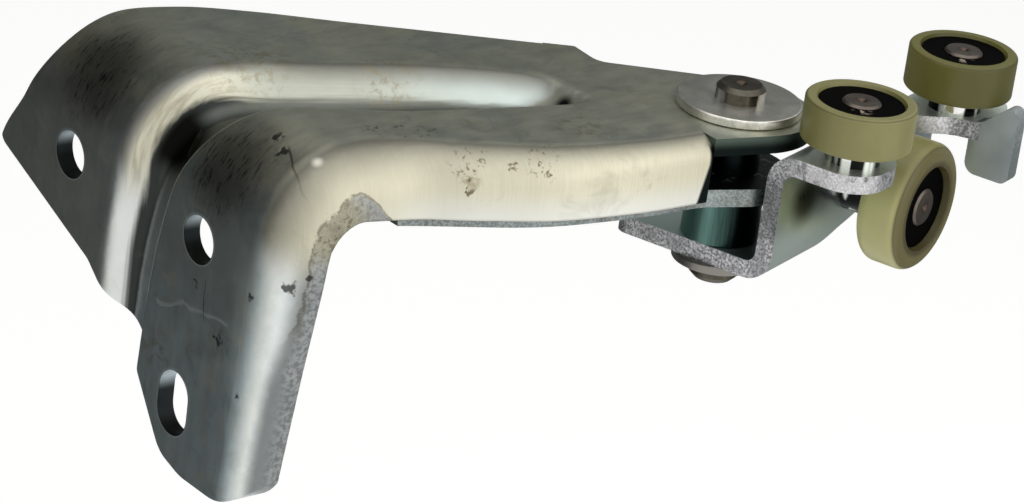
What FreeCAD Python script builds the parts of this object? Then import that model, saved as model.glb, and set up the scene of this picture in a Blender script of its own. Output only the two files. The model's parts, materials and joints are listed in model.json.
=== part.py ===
import FreeCAD, Part
import math
import os
import Sketcher

Vector = FreeCAD.Vector
UP = Vector(0, 0, 1)

# Sliding door roller guide, millimetres, +Z up along the pivot.
# The door flange lies in the plane X = 0 and faces -X; the arm runs towards +X.
# The origin is on that face, midway between the two round bolt holes.
# "across" is measured along the flange from the rear hole towards the front one.
DIMENSIONS = {
    "sheet_thick": 5.0,
    "edge_round": 0.9,
    "hole_pitch": 60.0,
    "bolt_hole_dia": 13.0,
    "slot_drop": 48.5,
    "slot_shift": 4.0,
    "slot_length": 18.0,
    "slot_width": 13.0,
    "arm_top": 33.5,
    "bend_radius": 26.0,
    "pivot_x": 140.0,
    "pivot_y": -75.4,
    "eye_radius": 20.5,
    "wall_end_x": 118.5,
    "step_x": 125.5,
    "lower_plate_top": 16.5,
    "lower_eye_radius": 16.4,
    "nest_gap": 0.15,
    "bush_dia": 16.0,
    "bush_bore": 10.1,
    "pin_dia": 10.0,
    "pin_head_dia": 13.4,
    "pin_head_height": 4.2,
    "pin_tail_dia": 13.6,
    "pin_tail_height": 5.0,
    "pin_tail_chamfer": 1.6,
    "pin_head_chamfer": 1.2,
    "pin_dimple_dia": 3.2,
    "pin_dimple_depth": 1.0,
    "washer_dia": 34.0,
    "washer_thick": 2.5,
    "thrust_gap": 0.1,
    "turned_round": 0.5,
    "hub_dia": 21.0,
    "lower_washer_dia": 24.0,
    "lower_washer_thick": 2.5,
    "carriage_angle": -72.25,
    "carriage_thick": 5.0,
    "bottom_plate_top": -3.5,
    "tab_top": 29.0,
    "web_inner": 17.0,
    "carriage_front": -10.0,
    "carriage_rear": 76.0,
    "plate_overhang": 27.0,
    "bend_outer": 8.0,
    "bend_inner": 3.0,
    "tab_reach": 45.5,
    "gap_reach": 24.5,
    "rear_tab_reach": 46.0,
    "ear_along": 54.3,
    "ear_inner": 43.0,
    "ear_outer": 56.5,
    "ear_foot": 14.1,
    "ear_top": 38.6,
    "guide_reach": 34.5,
    "front_guide_along": 2.6,
    "rear_guide_along": 60.0,
    "guide_bottom": 34.1,
    "guide_dia": 30.0,
    "guide_width": 11.8,
    "guide_round": 0.9,
    "guide_recess": 1.7,
    "load_along": 31.3,
    "load_axle_z": 10.0,
    "load_inner": 32.3,
    "load_dia": 36.0,
    "load_width": 13.0,
    "load_round": 3.2,
    "load_recess": 2.6,
    "bearing_dia": 24.0,
    "bearing_bore": 9.0,
    "bearing_width": 7.0,
    "outer_land_dia": 19.6,
    "inner_land_dia": 13.4,
    "ball_dia": 3.7,
    "ball_pitch_dia": 16.5,
    "race_dia": 4.0,
    "ball_count": 8,
    "seal_thick": 0.7,
    "seal_inset": 0.3,
    "seal_gap": 0.3,
    "cover_dia": 22.8,
    "cover_bore": 11.2,
    "cover_thick": 0.7,
    "cover_gap": 0.2,
    "mouth_dia": 23.0,
    "back_mouth_dia": 20.0,
    "collar_dia": 14.8,
    "axle_head_dia": 10.6,
    "axle_head_height": 1.6,
    "axle_tail_dia": 12.0,
    "axle_tail_height": 1.5,
    "axle_chamfer": 0.8,
    "axle_head_chamfer": 0.6,
    "axle_dimple_dia": 2.8,
    "axle_dimple_depth": 0.9,
}

doc = FreeCAD.newDocument("SlidingDoorRollerGuide")
sheet = doc.addObject("Spreadsheet::Sheet", "Sizes")
for row, (name, value) in enumerate(DIMENSIONS.items(), start=1):
    sheet.set(f"A{row}", name)
    sheet.set(f"B{row}", str(value))
    sheet.setAlias(f"B{row}", name)
doc.recompute()

pieces = []


def size(name):
    return float(sheet.get(name))


def keep(piece, label):
    """Name a finished piece and queue it for writing."""
    piece.Label = label
    pieces.append(piece)
    return piece


# Outlines and simple solids


def rounded_wire(corners, to_space):
    """Closed outline through (a, b, corner radius) points, placed by to_space(a, b)."""
    path = []
    for index, (a, b, radius) in enumerate(corners):
        here = Vector(a, b, 0)
        before = Vector(*corners[index - 1][:2], 0) - here
        after = Vector(*corners[(index + 1) % len(corners)][:2], 0) - here
        if not radius:
            path.append((here, here, here))
            continue
        turn = before.getAngle(after)
        before.normalize()
        after.normalize()
        run = radius / math.tan(turn / 2)
        middle = before + after
        middle.normalize()
        middle = here + middle * (radius / math.sin(turn / 2) - radius)
        path.append((here + before * run, middle, here + after * run))
    edges = []
    for index, (start, middle, end) in enumerate(path):
        start, middle, end = (to_space(p.x, p.y) for p in (start, middle, end))
        following = path[(index + 1) % len(path)][0]
        following = to_space(following.x, following.y)
        if start != end:
            edges.append(Part.Arc(start, middle, end).toShape())
        if (following - end).Length > 1e-6:
            edges.append(Part.LineSegment(end, following).toShape())
    return Part.Wire(edges)


def prism(name, wire, direction, length):
    """Solid swept straight from a closed outline."""
    outline = doc.addObject("Part::Feature", name + "Outline")
    outline.Shape = wire
    solid = doc.addObject("Part::Extrusion", name)
    solid.Base = outline
    solid.DirMode = "Custom"
    solid.Dir = direction
    solid.LengthFwd = length
    solid.Solid = True
    return solid


def rod(name, diameter, base, axis, length):
    """Cylinder whose diameter is a cell of the sheet."""
    solid = doc.addObject("Part::Cylinder", name)
    solid.setExpression("Radius", f"Sizes.{diameter} / 2")
    solid.Height = length
    solid.Placement = FreeCAD.Placement(base, FreeCAD.Rotation(UP, axis))
    return solid


def disc(name, radius, height, base):
    """Upright cylinder whose radius and height are cells of the sheet."""
    solid = doc.addObject("Part::Cylinder", name)
    solid.setExpression("Radius", f"Sizes.{radius}")
    solid.setExpression("Height", f"Sizes.{height}")
    solid.Placement.Base = base
    return solid


def cut(name, base, *tools):
    """Base less every tool."""
    for number, tool in enumerate(tools, start=1):
        less = doc.addObject("Part::Cut", f"{name}Cut{number}")
        less.Base = base
        less.Tool = tool
        base = less
    return base


def fuse(name, *solids):
    whole = doc.addObject("Part::MultiFuse", name)
    whole.Shapes = list(solids)
    whole.Refine = True
    return whole


def turned(name, profile, placement, rounds=None):
    """Piece turned about its own Z axis.

    profile lists (radius, height) expressions; rounds is (cell, [(radius, height), ...]),
    the edges that carry a fillet.
    """
    body = doc.addObject("PartDesign::Body", name)
    plane = next(p for p in body.Origin.OriginFeatures if p.Role == "XZ_Plane")
    sketch = body.newObject("Sketcher::SketchObject", name + "Profile")
    sketch.AttachmentSupport = (plane, [""])
    sketch.MapMode = "FlatFace"
    points = []
    for radius, height in profile:
        values = [float(sheet.evalExpression(text)) for text in (radius, height)]
        points.append(Vector(*values, 0))
    count = len(points)
    for index, point in enumerate(points):
        sketch.addGeometry(Part.LineSegment(point, points[(index + 1) % count]), False)
    for index in range(count):
        sketch.addConstraint(Sketcher.Constraint("Coincident", index, 2, (index + 1) % count, 1))
    for index, (expressions, point) in enumerate(zip(profile, points)):
        sides = (("DistanceX", point.x, -2), ("DistanceY", point.y, -1))
        for text, (kind, value, axis) in zip(expressions, sides):
            if abs(value) < 1e-9:
                sketch.addConstraint(Sketcher.Constraint("PointOnObject", index, 1, axis))
                continue
            number = sketch.addConstraint(Sketcher.Constraint(kind, -1, 1, index, 1, value))
            sketch.setExpression(f"Constraints[{number}]", text)
    turn = body.newObject("PartDesign::Revolution", name + "Turn")
    turn.Profile = sketch
    turn.ReferenceAxis = (sketch, ["V_Axis"])
    turn.Angle = 360
    doc.recompute()
    if rounds:
        cell, rings = rounds
        fillet = body.newObject("PartDesign::Fillet", name + "Round")
        fillet.Base = (turn, [ring_edge(turn.Shape, *ring) for ring in rings])
        fillet.setExpression("Radius", f"Sizes.{cell}")
        doc.recompute()
    body.Placement = placement
    return body


def ring_edge(shape, radius, height):
    """Name of the circular edge at a radius and height expression."""
    radius = float(sheet.evalExpression(radius))
    height = float(sheet.evalExpression(height))
    for index, edge in enumerate(shape.Edges, start=1):
        curve = edge.Curve
        if not isinstance(curve, Part.Circle):
            continue
        if abs(curve.Radius - radius) < 1e-4 and abs(curve.Center.z - height) < 1e-4:
            return f"Edge{index}"
    raise ValueError(f"no edge at radius {radius}, height {height}")


# Arm pressing

sheet_thick = size("sheet_thick")
arm_top = size("arm_top")
bend_radius = size("bend_radius")
hole_y = size("hole_pitch") / 2
pivot = Vector(size("pivot_x"), size("pivot_y"), 0)


def side(across):
    """Y of a place given across the flange from the rear hole."""
    return hole_y - across


# The pressing follows a path up the flange, round the bend and along the arm.
bend_start = arm_top - bend_radius
bend_length = bend_radius * math.pi / 2


def up_flange(z):
    return z - bend_start


def round_bend(degrees):
    return bend_radius * math.radians(degrees)


def along_arm(x):
    return bend_length + x - bend_radius


def place(path, across, depth):
    """Point at a place on the path, across the sheet and below its outer face."""
    if path < 0:
        return Vector(depth, side(across), bend_start + path)
    if path > bend_length:
        return Vector(bend_radius + path - bend_length, side(across), arm_top - depth)
    angle = path / bend_radius
    radius = bend_radius - depth
    x = bend_radius - radius * math.cos(angle)
    return Vector(x, side(across), bend_start + radius * math.sin(angle))


# Path, rear edge, groove (start, rear foot, front foot, end), groove depth, outer face of the
# turned-down wall, round that turns it down, depth of its trimmed edge.
STATIONS = [
    (up_flange(-75), -34, 17, 29, 32, 38, 6.0, 88.0, 10.0, 11.0),
    (up_flange(-25), -34, 17, 30, 34, 41, 7.0, 93.2, 12.0, 13.0),
    (up_flange(-9), -34, 18, 31, 36, 43, 8.0, 94.8, 13.0, 14.0),
    (round_bend(0), -24.6, 20, 34, 40, 47, 9.0, 96.2, 14.0, 15.0),
    (round_bend(45), -16.8, 23, 38, 46, 54, 10.0, 96.8, 14.5, 16.5),
    (round_bend(90), -13.6, 27, 43, 53, 62, 10.0, 97.0, 14.5, 18.0),
    (along_arm(38), -10.5, 31, 47, 59, 68, 10.0, 99.4, 14.0, 18.5),
    (along_arm(52), -2.5, 37, 53, 66, 75, 9.5, 106.0, 12.0, 18.5),
    (along_arm(75), 15.3, 47, 62, 73, 82, 8.6, 115.4, 9.0, 18.5),
    (along_arm(94), 29.7, 58, 72, 79, 87, 7.0, 119.0, 7.2, 18.5),
    (along_arm(100), 34.3, 62, 76, 81, 88.5, 4.2, 119.8, 6.8, 18.5),
    (along_arm(106), 38.9, 66, 79, 83, 90, 0.0, 120.3, 6.3, 18.5),
    (along_arm(size("step_x")), 53.7, 78, 88, 91, 97, 0.0, 121.2, 6.0, 18.5),
]


def station_slopes(column):
    """Slope of one station value at each station, flat where the value turns."""
    steps = []
    for first, second in zip(STATIONS, STATIONS[1:]):
        steps.append((second[column] - first[column]) / (second[0] - first[0]))
    slopes = [steps[0]]
    for before, after in zip(steps, steps[1:]):
        slopes.append(2 * before * after / (before + after) if before * after > 0 else 0.0)
    return slopes + [steps[-1]]


SLOPES = [station_slopes(column) for column in range(1, len(STATIONS[0]))]


def values_at(path):
    """Every station value at a place on the path, blended without overshoot."""
    index = next(i for i in range(len(STATIONS) - 1) if path <= STATIONS[i + 1][0] + 1e-9)
    low, high = STATIONS[index], STATIONS[index + 1]
    run = high[0] - low[0]
    t = (path - low[0]) / run
    blended = []
    for column, slopes in enumerate(SLOPES, start=1):
        rise = low[column] * (1 + 2 * t) * (1 - t) ** 2 + high[column] * t * t * (3 - 2 * t)
        lean = slopes[index] * t * (1 - t) ** 2 - slopes[index + 1] * t * t * (1 - t)
        blended.append(rise + run * lean)
    return blended


def step_poles(start, end):
    """Poles of a smooth step between two flats, level at both ends."""
    ease = 0.5 * (end[0] - start[0])
    return [start, (start[0] + ease, start[1]), (end[0] - ease, end[1]), end]


def quarter(start, corner, end):
    """Poles of a quarter round that replaces a corner."""
    bow = 0.5523
    first = [a + bow * (c - a) for a, c in zip(start, corner)]
    second = [b + bow * (c - b) for b, c in zip(end, corner)]
    return [start, tuple(first), tuple(second), end]


def section(path):
    """Runs of poles round the section: outer face, wall edge, inner face, rear edge."""
    rear, start, rear_foot, front_foot, end, depth, wall, radius, drop = values_at(path)
    rear_slope = math.atan2(depth, 0.5 * (rear_foot - start))
    front_slope = math.atan2(depth, 0.5 * (end - front_foot))
    edge = size("edge_round")

    def face_runs(inset):
        back = inset * math.tan(rear_slope / 2)
        fore = inset * math.tan(front_slope / 2)
        top = (start - back, inset)
        foot = (rear_foot - back, depth + inset)
        far_foot = (front_foot + fore, depth + inset)
        far_top = (end + fore, inset)
        turn = wall - radius
        face = wall - inset
        return [
            [(rear + edge, inset), top],
            step_poles(top, foot),
            [foot, far_foot],
            step_poles(far_foot, far_top),
            [far_top, (turn, inset)],
            quarter((turn, inset), (face, inset), (face, radius)),
            [(face, radius), (face, drop - edge)],
        ]

    outer = face_runs(0)
    inner = face_runs(sheet_thick)
    inner_wall = wall - sheet_thick
    low_edge = [(wall - edge, drop), (inner_wall + edge, drop)]
    rear_edge = [(rear, sheet_thick - edge), (rear, edge)]
    runs = outer + [quarter(outer[-1][-1], (wall, drop), low_edge[0]), low_edge]
    runs.append(quarter(low_edge[1], (inner_wall, drop), inner[-1][-1]))
    runs += [run[::-1] for run in reversed(inner)]
    runs += [quarter(inner[0][0], (rear, sheet_thick), rear_edge[0]), rear_edge]
    runs.append(quarter(rear_edge[1], (rear, 0), outer[0][0]))
    return [[place(path, *pole) for pole in run] for run in runs]


def bezier(poles):
    curve = Part.BezierCurve()
    curve.setPoles(poles)
    return curve.toShape()


def skin(levels):
    """Closed solid through the sections at the given places on the path."""
    sections = [section(level) for level in levels]
    faces = []
    for number in range(len(sections[0])):
        lines = []
        for points in zip(*[runs[number] for runs in sections]):
            line = Part.BSplineCurve()
            line.interpolate(Points=list(points), Parameters=levels)
            lines.append(line)
        degree = len(lines) - 1
        poles = [list(row) for row in zip(*[line.getPoles() for line in lines])]
        surface = Part.BSplineSurface()
        surface.buildFromPolesMultsKnots(
            poles, lines[0].getMultiplicities(), (degree + 1, degree + 1), lines[0].getKnots(), (0, 1),
            False, False, lines[0].Degree, degree,
        )
        faces.append(surface.toShape())
    for runs in (sections[0], sections[-1]):
        faces.append(Part.Face(Part.Wire([bezier(run) for run in runs])))
    shell = Part.Shell(faces)
    shell.sewShape()
    solid = Part.Solid(shell)
    if solid.Volume < 0:
        solid.reverse()
    return solid


def spaced(start, end, count):
    """Evenly spaced places, the end left out."""
    return [start + (end - start) * index / count for index in range(count)]


def tangent_point(point, centre, radius, turn):
    """Where a line from a point touches a circle; turn +1 or -1 picks the side."""
    away = Vector(*point, 0) - Vector(*centre, 0)
    angle = math.atan2(away.y, away.x) + turn * math.acos(radius / away.Length)
    return centre[0] + radius * math.cos(angle), centre[1] + radius * math.sin(angle)


PIVOT_PLAN = (size("pivot_x"), hole_y - size("pivot_y"))


def in_plan(z):
    return lambda x, across: Vector(x, side(across), z)


def make_arm():
    groove_fades = along_arm(90)
    groove_gone = along_arm(110)
    wall_end = size("wall_end_x")
    arm_end = along_arm(wall_end)
    levels = spaced(up_flange(-75), 0, 10) + spaced(0, bend_length, 8)
    levels += spaced(bend_length, groove_fades, 8) + spaced(groove_fades, groove_gone, 10)
    levels += spaced(groove_gone, arm_end, 2) + [arm_end]
    blank = doc.addObject("Part::Feature", "ArmBlank")
    blank.Shape = skin(levels)

    # Scrap below the flange: diagonal under the rear strap and the groove, tongue round the slot.
    flange_scrap = [
        (-60, -5.5, 0), (-33.5, -5.5, 0), (-32.5, -8.5, 4), (12, -25.5, 10), (38, -45.5, 20),
        (52, -64.5, 10), (62, -67.3, 14), (91.5, -67.3, 17), (91.5, -48, 0),
        (125, -48, 0), (125, -95, 0), (-60, -95, 0),
    ]
    into = Vector(1, 0, 0)
    deep = 60
    scrap_wire = rounded_wire(flange_scrap, lambda a, z: Vector(-5, side(a), z))
    scrap = prism("FlangeScrap", scrap_wire, into, deep)

    # The wall stops short of the flat eye, whose sides are tangent to its round end.
    eye_foot = arm_top - sheet_thick
    eye_radius = size("eye_radius")
    step_x = size("step_x")
    rear_edge = values_at(arm_end)[0]
    step_foot = (step_x - 1.1, 65.1)
    front_start = (wall_end, 120.9)
    eye_neck = [
        (wall_end, rear_edge, 0), (step_x, values_at(along_arm(step_x))[0], 1), (*step_foot, 6),
        (*tangent_point(step_foot, PIVOT_PLAN, eye_radius, 1), 0),
        (*tangent_point(front_start, PIVOT_PLAN, eye_radius, -1), 0), (*front_start, 0),
    ]
    neck = prism("EyeNeck", rounded_wire(eye_neck, in_plan(eye_foot)), UP, sheet_thick)
    eye = disc("EyeEnd", "eye_radius", "sheet_thick", pivot + UP * eye_foot)
    formed = fuse("ArmFormed", cut("ArmTrim", blank, scrap), neck, eye)

    rear_hole = rod("RearHole", "bolt_hole_dia", Vector(-5, hole_y, 0), into, deep)
    front_hole = rod("FrontHole", "bolt_hole_dia", Vector(-5, -hole_y, 0), into, deep)
    half_wide = size("slot_width") / 2
    half_long = size("slot_length") / 2
    slot_y = -hole_y + size("slot_shift")
    slot_z = -size("slot_drop")
    slot_outline = [
        (slot_y - half_wide, slot_z - half_long, half_wide),
        (slot_y + half_wide, slot_z - half_long, half_wide),
        (slot_y + half_wide, slot_z + half_long, half_wide),
        (slot_y - half_wide, slot_z + half_long, half_wide),
    ]
    slot = prism("Slot", rounded_wire(slot_outline, lambda y, z: Vector(-5, y, z)), into, deep)
    bush_hole = rod("ArmBushHole", "bush_dia", pivot, UP, deep)
    keep(cut("Arm", formed, rear_hole, front_hole, slot, bush_hole), "arm_pressing")


def make_lower_plate():
    """Flat plate nested in the channel, its front edge following the wall's inner face."""
    foot = size("lower_plate_top") - sheet_thick
    radius = size("lower_eye_radius")
    at = in_plan(foot)
    wall_column = 6
    start_x = 37
    edge_points = []
    for x in spaced(start_x, size("wall_end_x"), 8) + [size("wall_end_x")]:
        wall = values_at(along_arm(x))[wall_column]
        edge_points.append(at(x, wall - sheet_thick - size("nest_gap")))
    front_edge = Part.BSplineCurve()
    front_edge.interpolate(edge_points)
    rear_start = (112, 74)
    front_touch = tangent_point((122.5, 116.3), PIVOT_PLAN, radius, -1)
    rear_touch = tangent_point(rear_start, PIVOT_PLAN, radius, 1)
    corners = [edge_points[-1], at(122.5, 116.3), at(*front_touch), at(*rear_touch), at(*rear_start)]
    corners += [at(52, 74), at(start_x, 84), edge_points[0]]
    edges = [front_edge.toShape()]
    for first, second in zip(corners, corners[1:]):
        edges.append(Part.LineSegment(first, second).toShape())
    strip = prism("LowerStrip", Part.Wire(edges), UP, sheet_thick)
    end = disc("LowerEnd", "lower_eye_radius", "sheet_thick", pivot + UP * foot)
    hole = rod("LowerBushHole", "bush_dia", pivot, UP, 60)
    keep(cut("LowerPlate", fuse("LowerPlate", strip, end), hole), "arm_lower_plate")


def make_pivot():
    """Bush in the arm; pin, washers and hub that swivel with the carriage."""
    at_pivot = FreeCAD.Placement(pivot, FreeCAD.Rotation())
    bush_foot = "Sizes.lower_plate_top - Sizes.sheet_thick"
    bush = [
        ("Sizes.bush_bore / 2", bush_foot), ("Sizes.bush_dia / 2", bush_foot),
        ("Sizes.bush_dia / 2", "Sizes.arm_top"), ("Sizes.bush_bore / 2", "Sizes.arm_top"),
    ]
    keep(turned("PivotBush", bush, at_pivot), "pivot_bush")

    washer_foot = "Sizes.arm_top + Sizes.thrust_gap"
    washer_top = washer_foot + " + Sizes.washer_thick"
    washer = [
        ("Sizes.pin_dia / 2", washer_foot), ("Sizes.washer_dia / 2", washer_foot),
        ("Sizes.washer_dia / 2", washer_top), ("Sizes.pin_dia / 2", washer_top),
    ]
    washer_rims = [("Sizes.washer_dia / 2", washer_foot), ("Sizes.washer_dia / 2", washer_top)]
    keep(turned("PivotWasher", washer, at_pivot, ("turned_round", washer_rims)), "pivot_washer")

    hub_foot = "Sizes.bottom_plate_top"
    hub_top = bush_foot + " - Sizes.thrust_gap"
    hub = [
        ("Sizes.pin_dia / 2", hub_foot), ("Sizes.hub_dia / 2", hub_foot),
        ("Sizes.hub_dia / 2", hub_top), ("Sizes.pin_dia / 2", hub_top),
    ]
    hub_rims = [("Sizes.hub_dia / 2", hub_foot), ("Sizes.hub_dia / 2", hub_top)]
    keep(turned("PivotHub", hub, at_pivot, ("turned_round", hub_rims)), "pivot_hub")

    plate_foot = "Sizes.bottom_plate_top - Sizes.carriage_thick"
    lower_foot = plate_foot + " - Sizes.lower_washer_thick"
    lower = [
        ("Sizes.pin_dia / 2", lower_foot), ("Sizes.lower_washer_dia / 2", lower_foot),
        ("Sizes.lower_washer_dia / 2", plate_foot), ("Sizes.pin_dia / 2", plate_foot),
    ]
    lower_rims = [("Sizes.lower_washer_dia / 2", lower_foot), ("Sizes.lower_washer_dia / 2", plate_foot)]
    keep(turned("PivotLowerWasher", lower, at_pivot, ("turned_round", lower_rims)), "pivot_lower_washer")

    head_top = washer_top + " + Sizes.pin_head_height"
    tail_foot = lower_foot + " - Sizes.pin_tail_height"
    pin = [
        ("0", tail_foot), ("Sizes.pin_tail_dia / 2 - Sizes.pin_tail_chamfer", tail_foot),
        ("Sizes.pin_tail_dia / 2", tail_foot + " + Sizes.pin_tail_chamfer"),
        ("Sizes.pin_tail_dia / 2", lower_foot),
        ("Sizes.pin_dia / 2", lower_foot), ("Sizes.pin_dia / 2", washer_top),
        ("Sizes.pin_head_dia / 2", washer_top),
        ("Sizes.pin_head_dia / 2", head_top + " - Sizes.pin_head_chamfer"),
        ("Sizes.pin_head_dia / 2 - Sizes.pin_head_chamfer", head_top),
        ("Sizes.pin_dimple_dia / 2", head_top), ("0", head_top + " - Sizes.pin_dimple_depth"),
    ]
    keep(turned("PivotPin", pin, at_pivot), "pivot_pin")


# Carriage, in its own directions: "reach" outwards from the pivot to the load roller's face,
# "along" the rail, and Z.

carriage = FreeCAD.Placement(pivot, FreeCAD.Rotation(UP, size("carriage_angle")))


def make_bracket():
    thick = size("carriage_thick")
    low = size("bottom_plate_top")
    high = size("tab_top")
    web = size("web_inner")
    front = size("carriage_front")
    rear = size("carriage_rear")
    outer = size("bend_outer")
    inner = size("bend_inner")
    reach = size("tab_reach")
    plate_end = -size("plate_overhang")

    # Z-shaped sheet: bottom plate, web and top flange with bends of even thickness.
    sheet_profile = [
        (plate_end, low, 0), (web, low, inner), (web, high, outer), (60, high, 0),
        (60, high - thick, 0), (web + thick, high - thick, inner), (web + thick, low - thick, outer),
        (plate_end, low - thick, 0),
    ]
    profile_wire = rounded_wire(sheet_profile, lambda reach, z: Vector(reach, front, z))
    bent = prism("BracketSheet", profile_wire, Vector(0, 1, 0), rear - front)

    # Plan of the blank: pivot plate, front tab, gap for the load roller, rear tab.
    gap = size("gap_reach")
    ear_face = size("ear_along")
    tab_end = size("rear_tab_reach")
    tab_back = 2 * size("front_guide_along") - front
    round_tab = reach - size("guide_reach") - 0.1
    blank_plan = [
        (plate_end, front, 4), (reach, front, round_tab), (reach, tab_back, round_tab),
        (gap, tab_back, 3), (gap, 44.5, 3), (31.5, 45.5, 6), (38.5, 52.3, 8), (tab_end, ear_face, 0),
        (tab_end, rear, 8), (8, rear, 8), (plate_end, 18, 14),
    ]
    plan_wire = rounded_wire(blank_plan, lambda reach, along: Vector(reach, along, -40))
    planned = prism("BracketPlan", plan_wire, UP, 100)
    trimmed = doc.addObject("Part::Common", "BracketTrimmed")
    trimmed.Base = bent
    trimmed.Tool = planned

    # Stop ear: the outer end of the rear tab, turned to stand across the rail.
    ear_start = size("ear_inner")
    ear_end = size("ear_outer")
    ear_foot = size("ear_foot")
    ear_outline = [
        (ear_start, ear_foot, 3.5), (ear_end, ear_foot, 2.5), (ear_end, size("ear_top"), 2.5),
        (ear_start + 2.6, high, 5), (ear_start, high, 0),
    ]
    ear_wire = rounded_wire(ear_outline, lambda reach, z: Vector(reach, ear_face, z))
    ear = prism("Ear", ear_wire, Vector(0, 1, 0), thick)
    whole = fuse("BracketWhole", trimmed, ear)

    # The lower edge of the web rises towards the rear.
    under = low - thick
    rear_trim = [
        (0, under - 0.1, 0), (15.5, under - 0.1, 8), (24, -2.6, 25), (rear + 9, 10.5, 0),
        (rear + 9, under - 10, 0), (0, under - 10, 0),
    ]
    trim_wire = rounded_wire(rear_trim, lambda along, z: Vector(plate_end - 5, along, z))
    web_trim = prism("WebTrim", trim_wire, Vector(1, 0, 0), 80)

    pin_hole = rod("PivotHole", "pin_dia", Vector(0, 0, low - 10), UP, 20)
    holes = [pin_hole]
    for name in ("front_guide", "rear_guide"):
        base = Vector(size("guide_reach"), size(name + "_along"), high - 15)
        holes.append(rod(name + "_hole", "bearing_bore", base, UP, 20))
    load_base = Vector(web - 5, size("load_along"), size("load_axle_z"))
    holes.append(rod("load_hole", "bearing_bore", load_base, Vector(1, 0, 0), 20))
    bracket = cut("Bracket", whole, web_trim, *holes)
    bracket.Placement = carriage
    keep(bracket, "carriage_bracket")


def ring_profile(inner_radius, outer_radius, foot, top):
    return [(inner_radius, foot), (outer_radius, foot), (outer_radius, top), (inner_radius, top)]


def make_roller(name, frame, kind, stand):
    """One roller, built with its axle along local Z.

    frame puts local Z = 0 at the tyre's bracket-side face; kind names its cells in the sheet and
    stand is the expression for the distance from that face back to the bracket.
    """
    diameter = kind + "_dia"
    width = kind + "_width"
    top = f"Sizes.{width} - Sizes.{kind}_recess"
    foot = top + " - Sizes.bearing_width"
    middle = top + " - Sizes.bearing_width / 2"
    outside = "Sizes.bearing_dia / 2"
    mouth = "Sizes.mouth_dia / 2"

    tyre = [
        ("Sizes.back_mouth_dia / 2 + 0.8", "0"), (f"Sizes.{diameter} / 2", "0"),
        (f"Sizes.{diameter} / 2", f"Sizes.{width}"), (mouth + " + 0.6", f"Sizes.{width}"),
        (mouth, top), (outside, top), (outside, foot), ("Sizes.back_mouth_dia / 2", foot),
    ]
    edges = [(f"Sizes.{diameter} / 2", "0"), (f"Sizes.{diameter} / 2", f"Sizes.{width}")]
    keep(turned(name + "Tyre", tyre, frame, (kind + "_round", edges)), name + "_tyre")

    race = doc.addObject("Part::Torus", name + "Race")
    race.setExpression("Radius1", "Sizes.ball_pitch_dia / 2")
    race.setExpression("Radius2", "Sizes.race_dia / 2")
    height = float(sheet.evalExpression(middle))
    race.Placement = frame.multiply(FreeCAD.Placement(UP * height, FreeCAD.Rotation(UP, 30)))
    outer = turned(name + "OuterRing", ring_profile("Sizes.outer_land_dia / 2", outside, foot, top), frame)
    inner = turned(
        name + "InnerRing",
        ring_profile("Sizes.bearing_bore / 2", "Sizes.inner_land_dia / 2", foot, top),
        frame,
    )
    keep(cut(name + "OuterRace", outer, race), name + "_bearing_outer_ring")
    keep(cut(name + "InnerRace", inner, race), name + "_bearing_inner_ring")

    balls = doc.addObject("Part::Feature", name + "Balls")
    count = int(size("ball_count"))
    spheres = []
    for number in range(count):
        angle = 2 * math.pi * number / count
        centre = Vector(math.cos(angle), math.sin(angle), 0) * (size("ball_pitch_dia") / 2)
        spheres.append(Part.makeSphere(size("ball_dia") / 2, centre + UP * height))
    balls.Shape = Part.makeCompound(spheres)
    balls.Placement = frame
    keep(balls, name + "_balls")

    # The outer seal covers the whole bearing; the inner one sits between the lands.
    rest = "Sizes.outer_land_dia / 2"
    cover_foot = top + " + Sizes.cover_gap"
    cover_top = cover_foot + " + Sizes.cover_thick"
    cover = [
        (rest, top), ("Sizes.cover_dia / 2", top), ("Sizes.cover_dia / 2", cover_top),
        ("Sizes.cover_bore / 2", cover_top), ("Sizes.cover_bore / 2", cover_foot), (rest, cover_foot),
    ]
    keep(turned(name + "OuterSeal", cover, frame), name + "_outer_seal")
    low_seal = foot + " + Sizes.seal_inset"
    inner_lip = "Sizes.inner_land_dia / 2 + Sizes.seal_gap"
    seal = ring_profile(inner_lip, rest, low_seal, low_seal + " + Sizes.seal_thick")
    keep(turned(name + "InnerSeal", seal, frame), name + "_inner_seal")

    seat = f"0 - ({stand})"
    tail = seat + " - Sizes.carriage_thick"
    bore = "Sizes.bearing_bore / 2"
    head_top = top + " + Sizes.axle_head_height"
    axle = [
        ("0", tail + " - Sizes.axle_tail_height"),
        ("Sizes.axle_tail_dia / 2 - Sizes.axle_chamfer", tail + " - Sizes.axle_tail_height"),
        ("Sizes.axle_tail_dia / 2", tail + " - Sizes.axle_tail_height + Sizes.axle_chamfer"),
        ("Sizes.axle_tail_dia / 2", tail), (bore, tail), (bore, seat),
        ("Sizes.collar_dia / 2", seat), ("Sizes.collar_dia / 2", foot + " - Sizes.axle_chamfer"),
        ("Sizes.inner_land_dia / 2 - 0.4", foot), (bore, foot), (bore, top),
        ("Sizes.axle_head_dia / 2", top),
        ("Sizes.axle_head_dia / 2", head_top + " - Sizes.axle_head_chamfer"),
        ("Sizes.axle_head_dia / 2 - Sizes.axle_head_chamfer", head_top),
        ("Sizes.axle_dimple_dia / 2", head_top), ("0", head_top + " - Sizes.axle_dimple_depth"),
    ]
    keep(turned(name + "Axle", axle, frame), name + "_axle")


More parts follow.
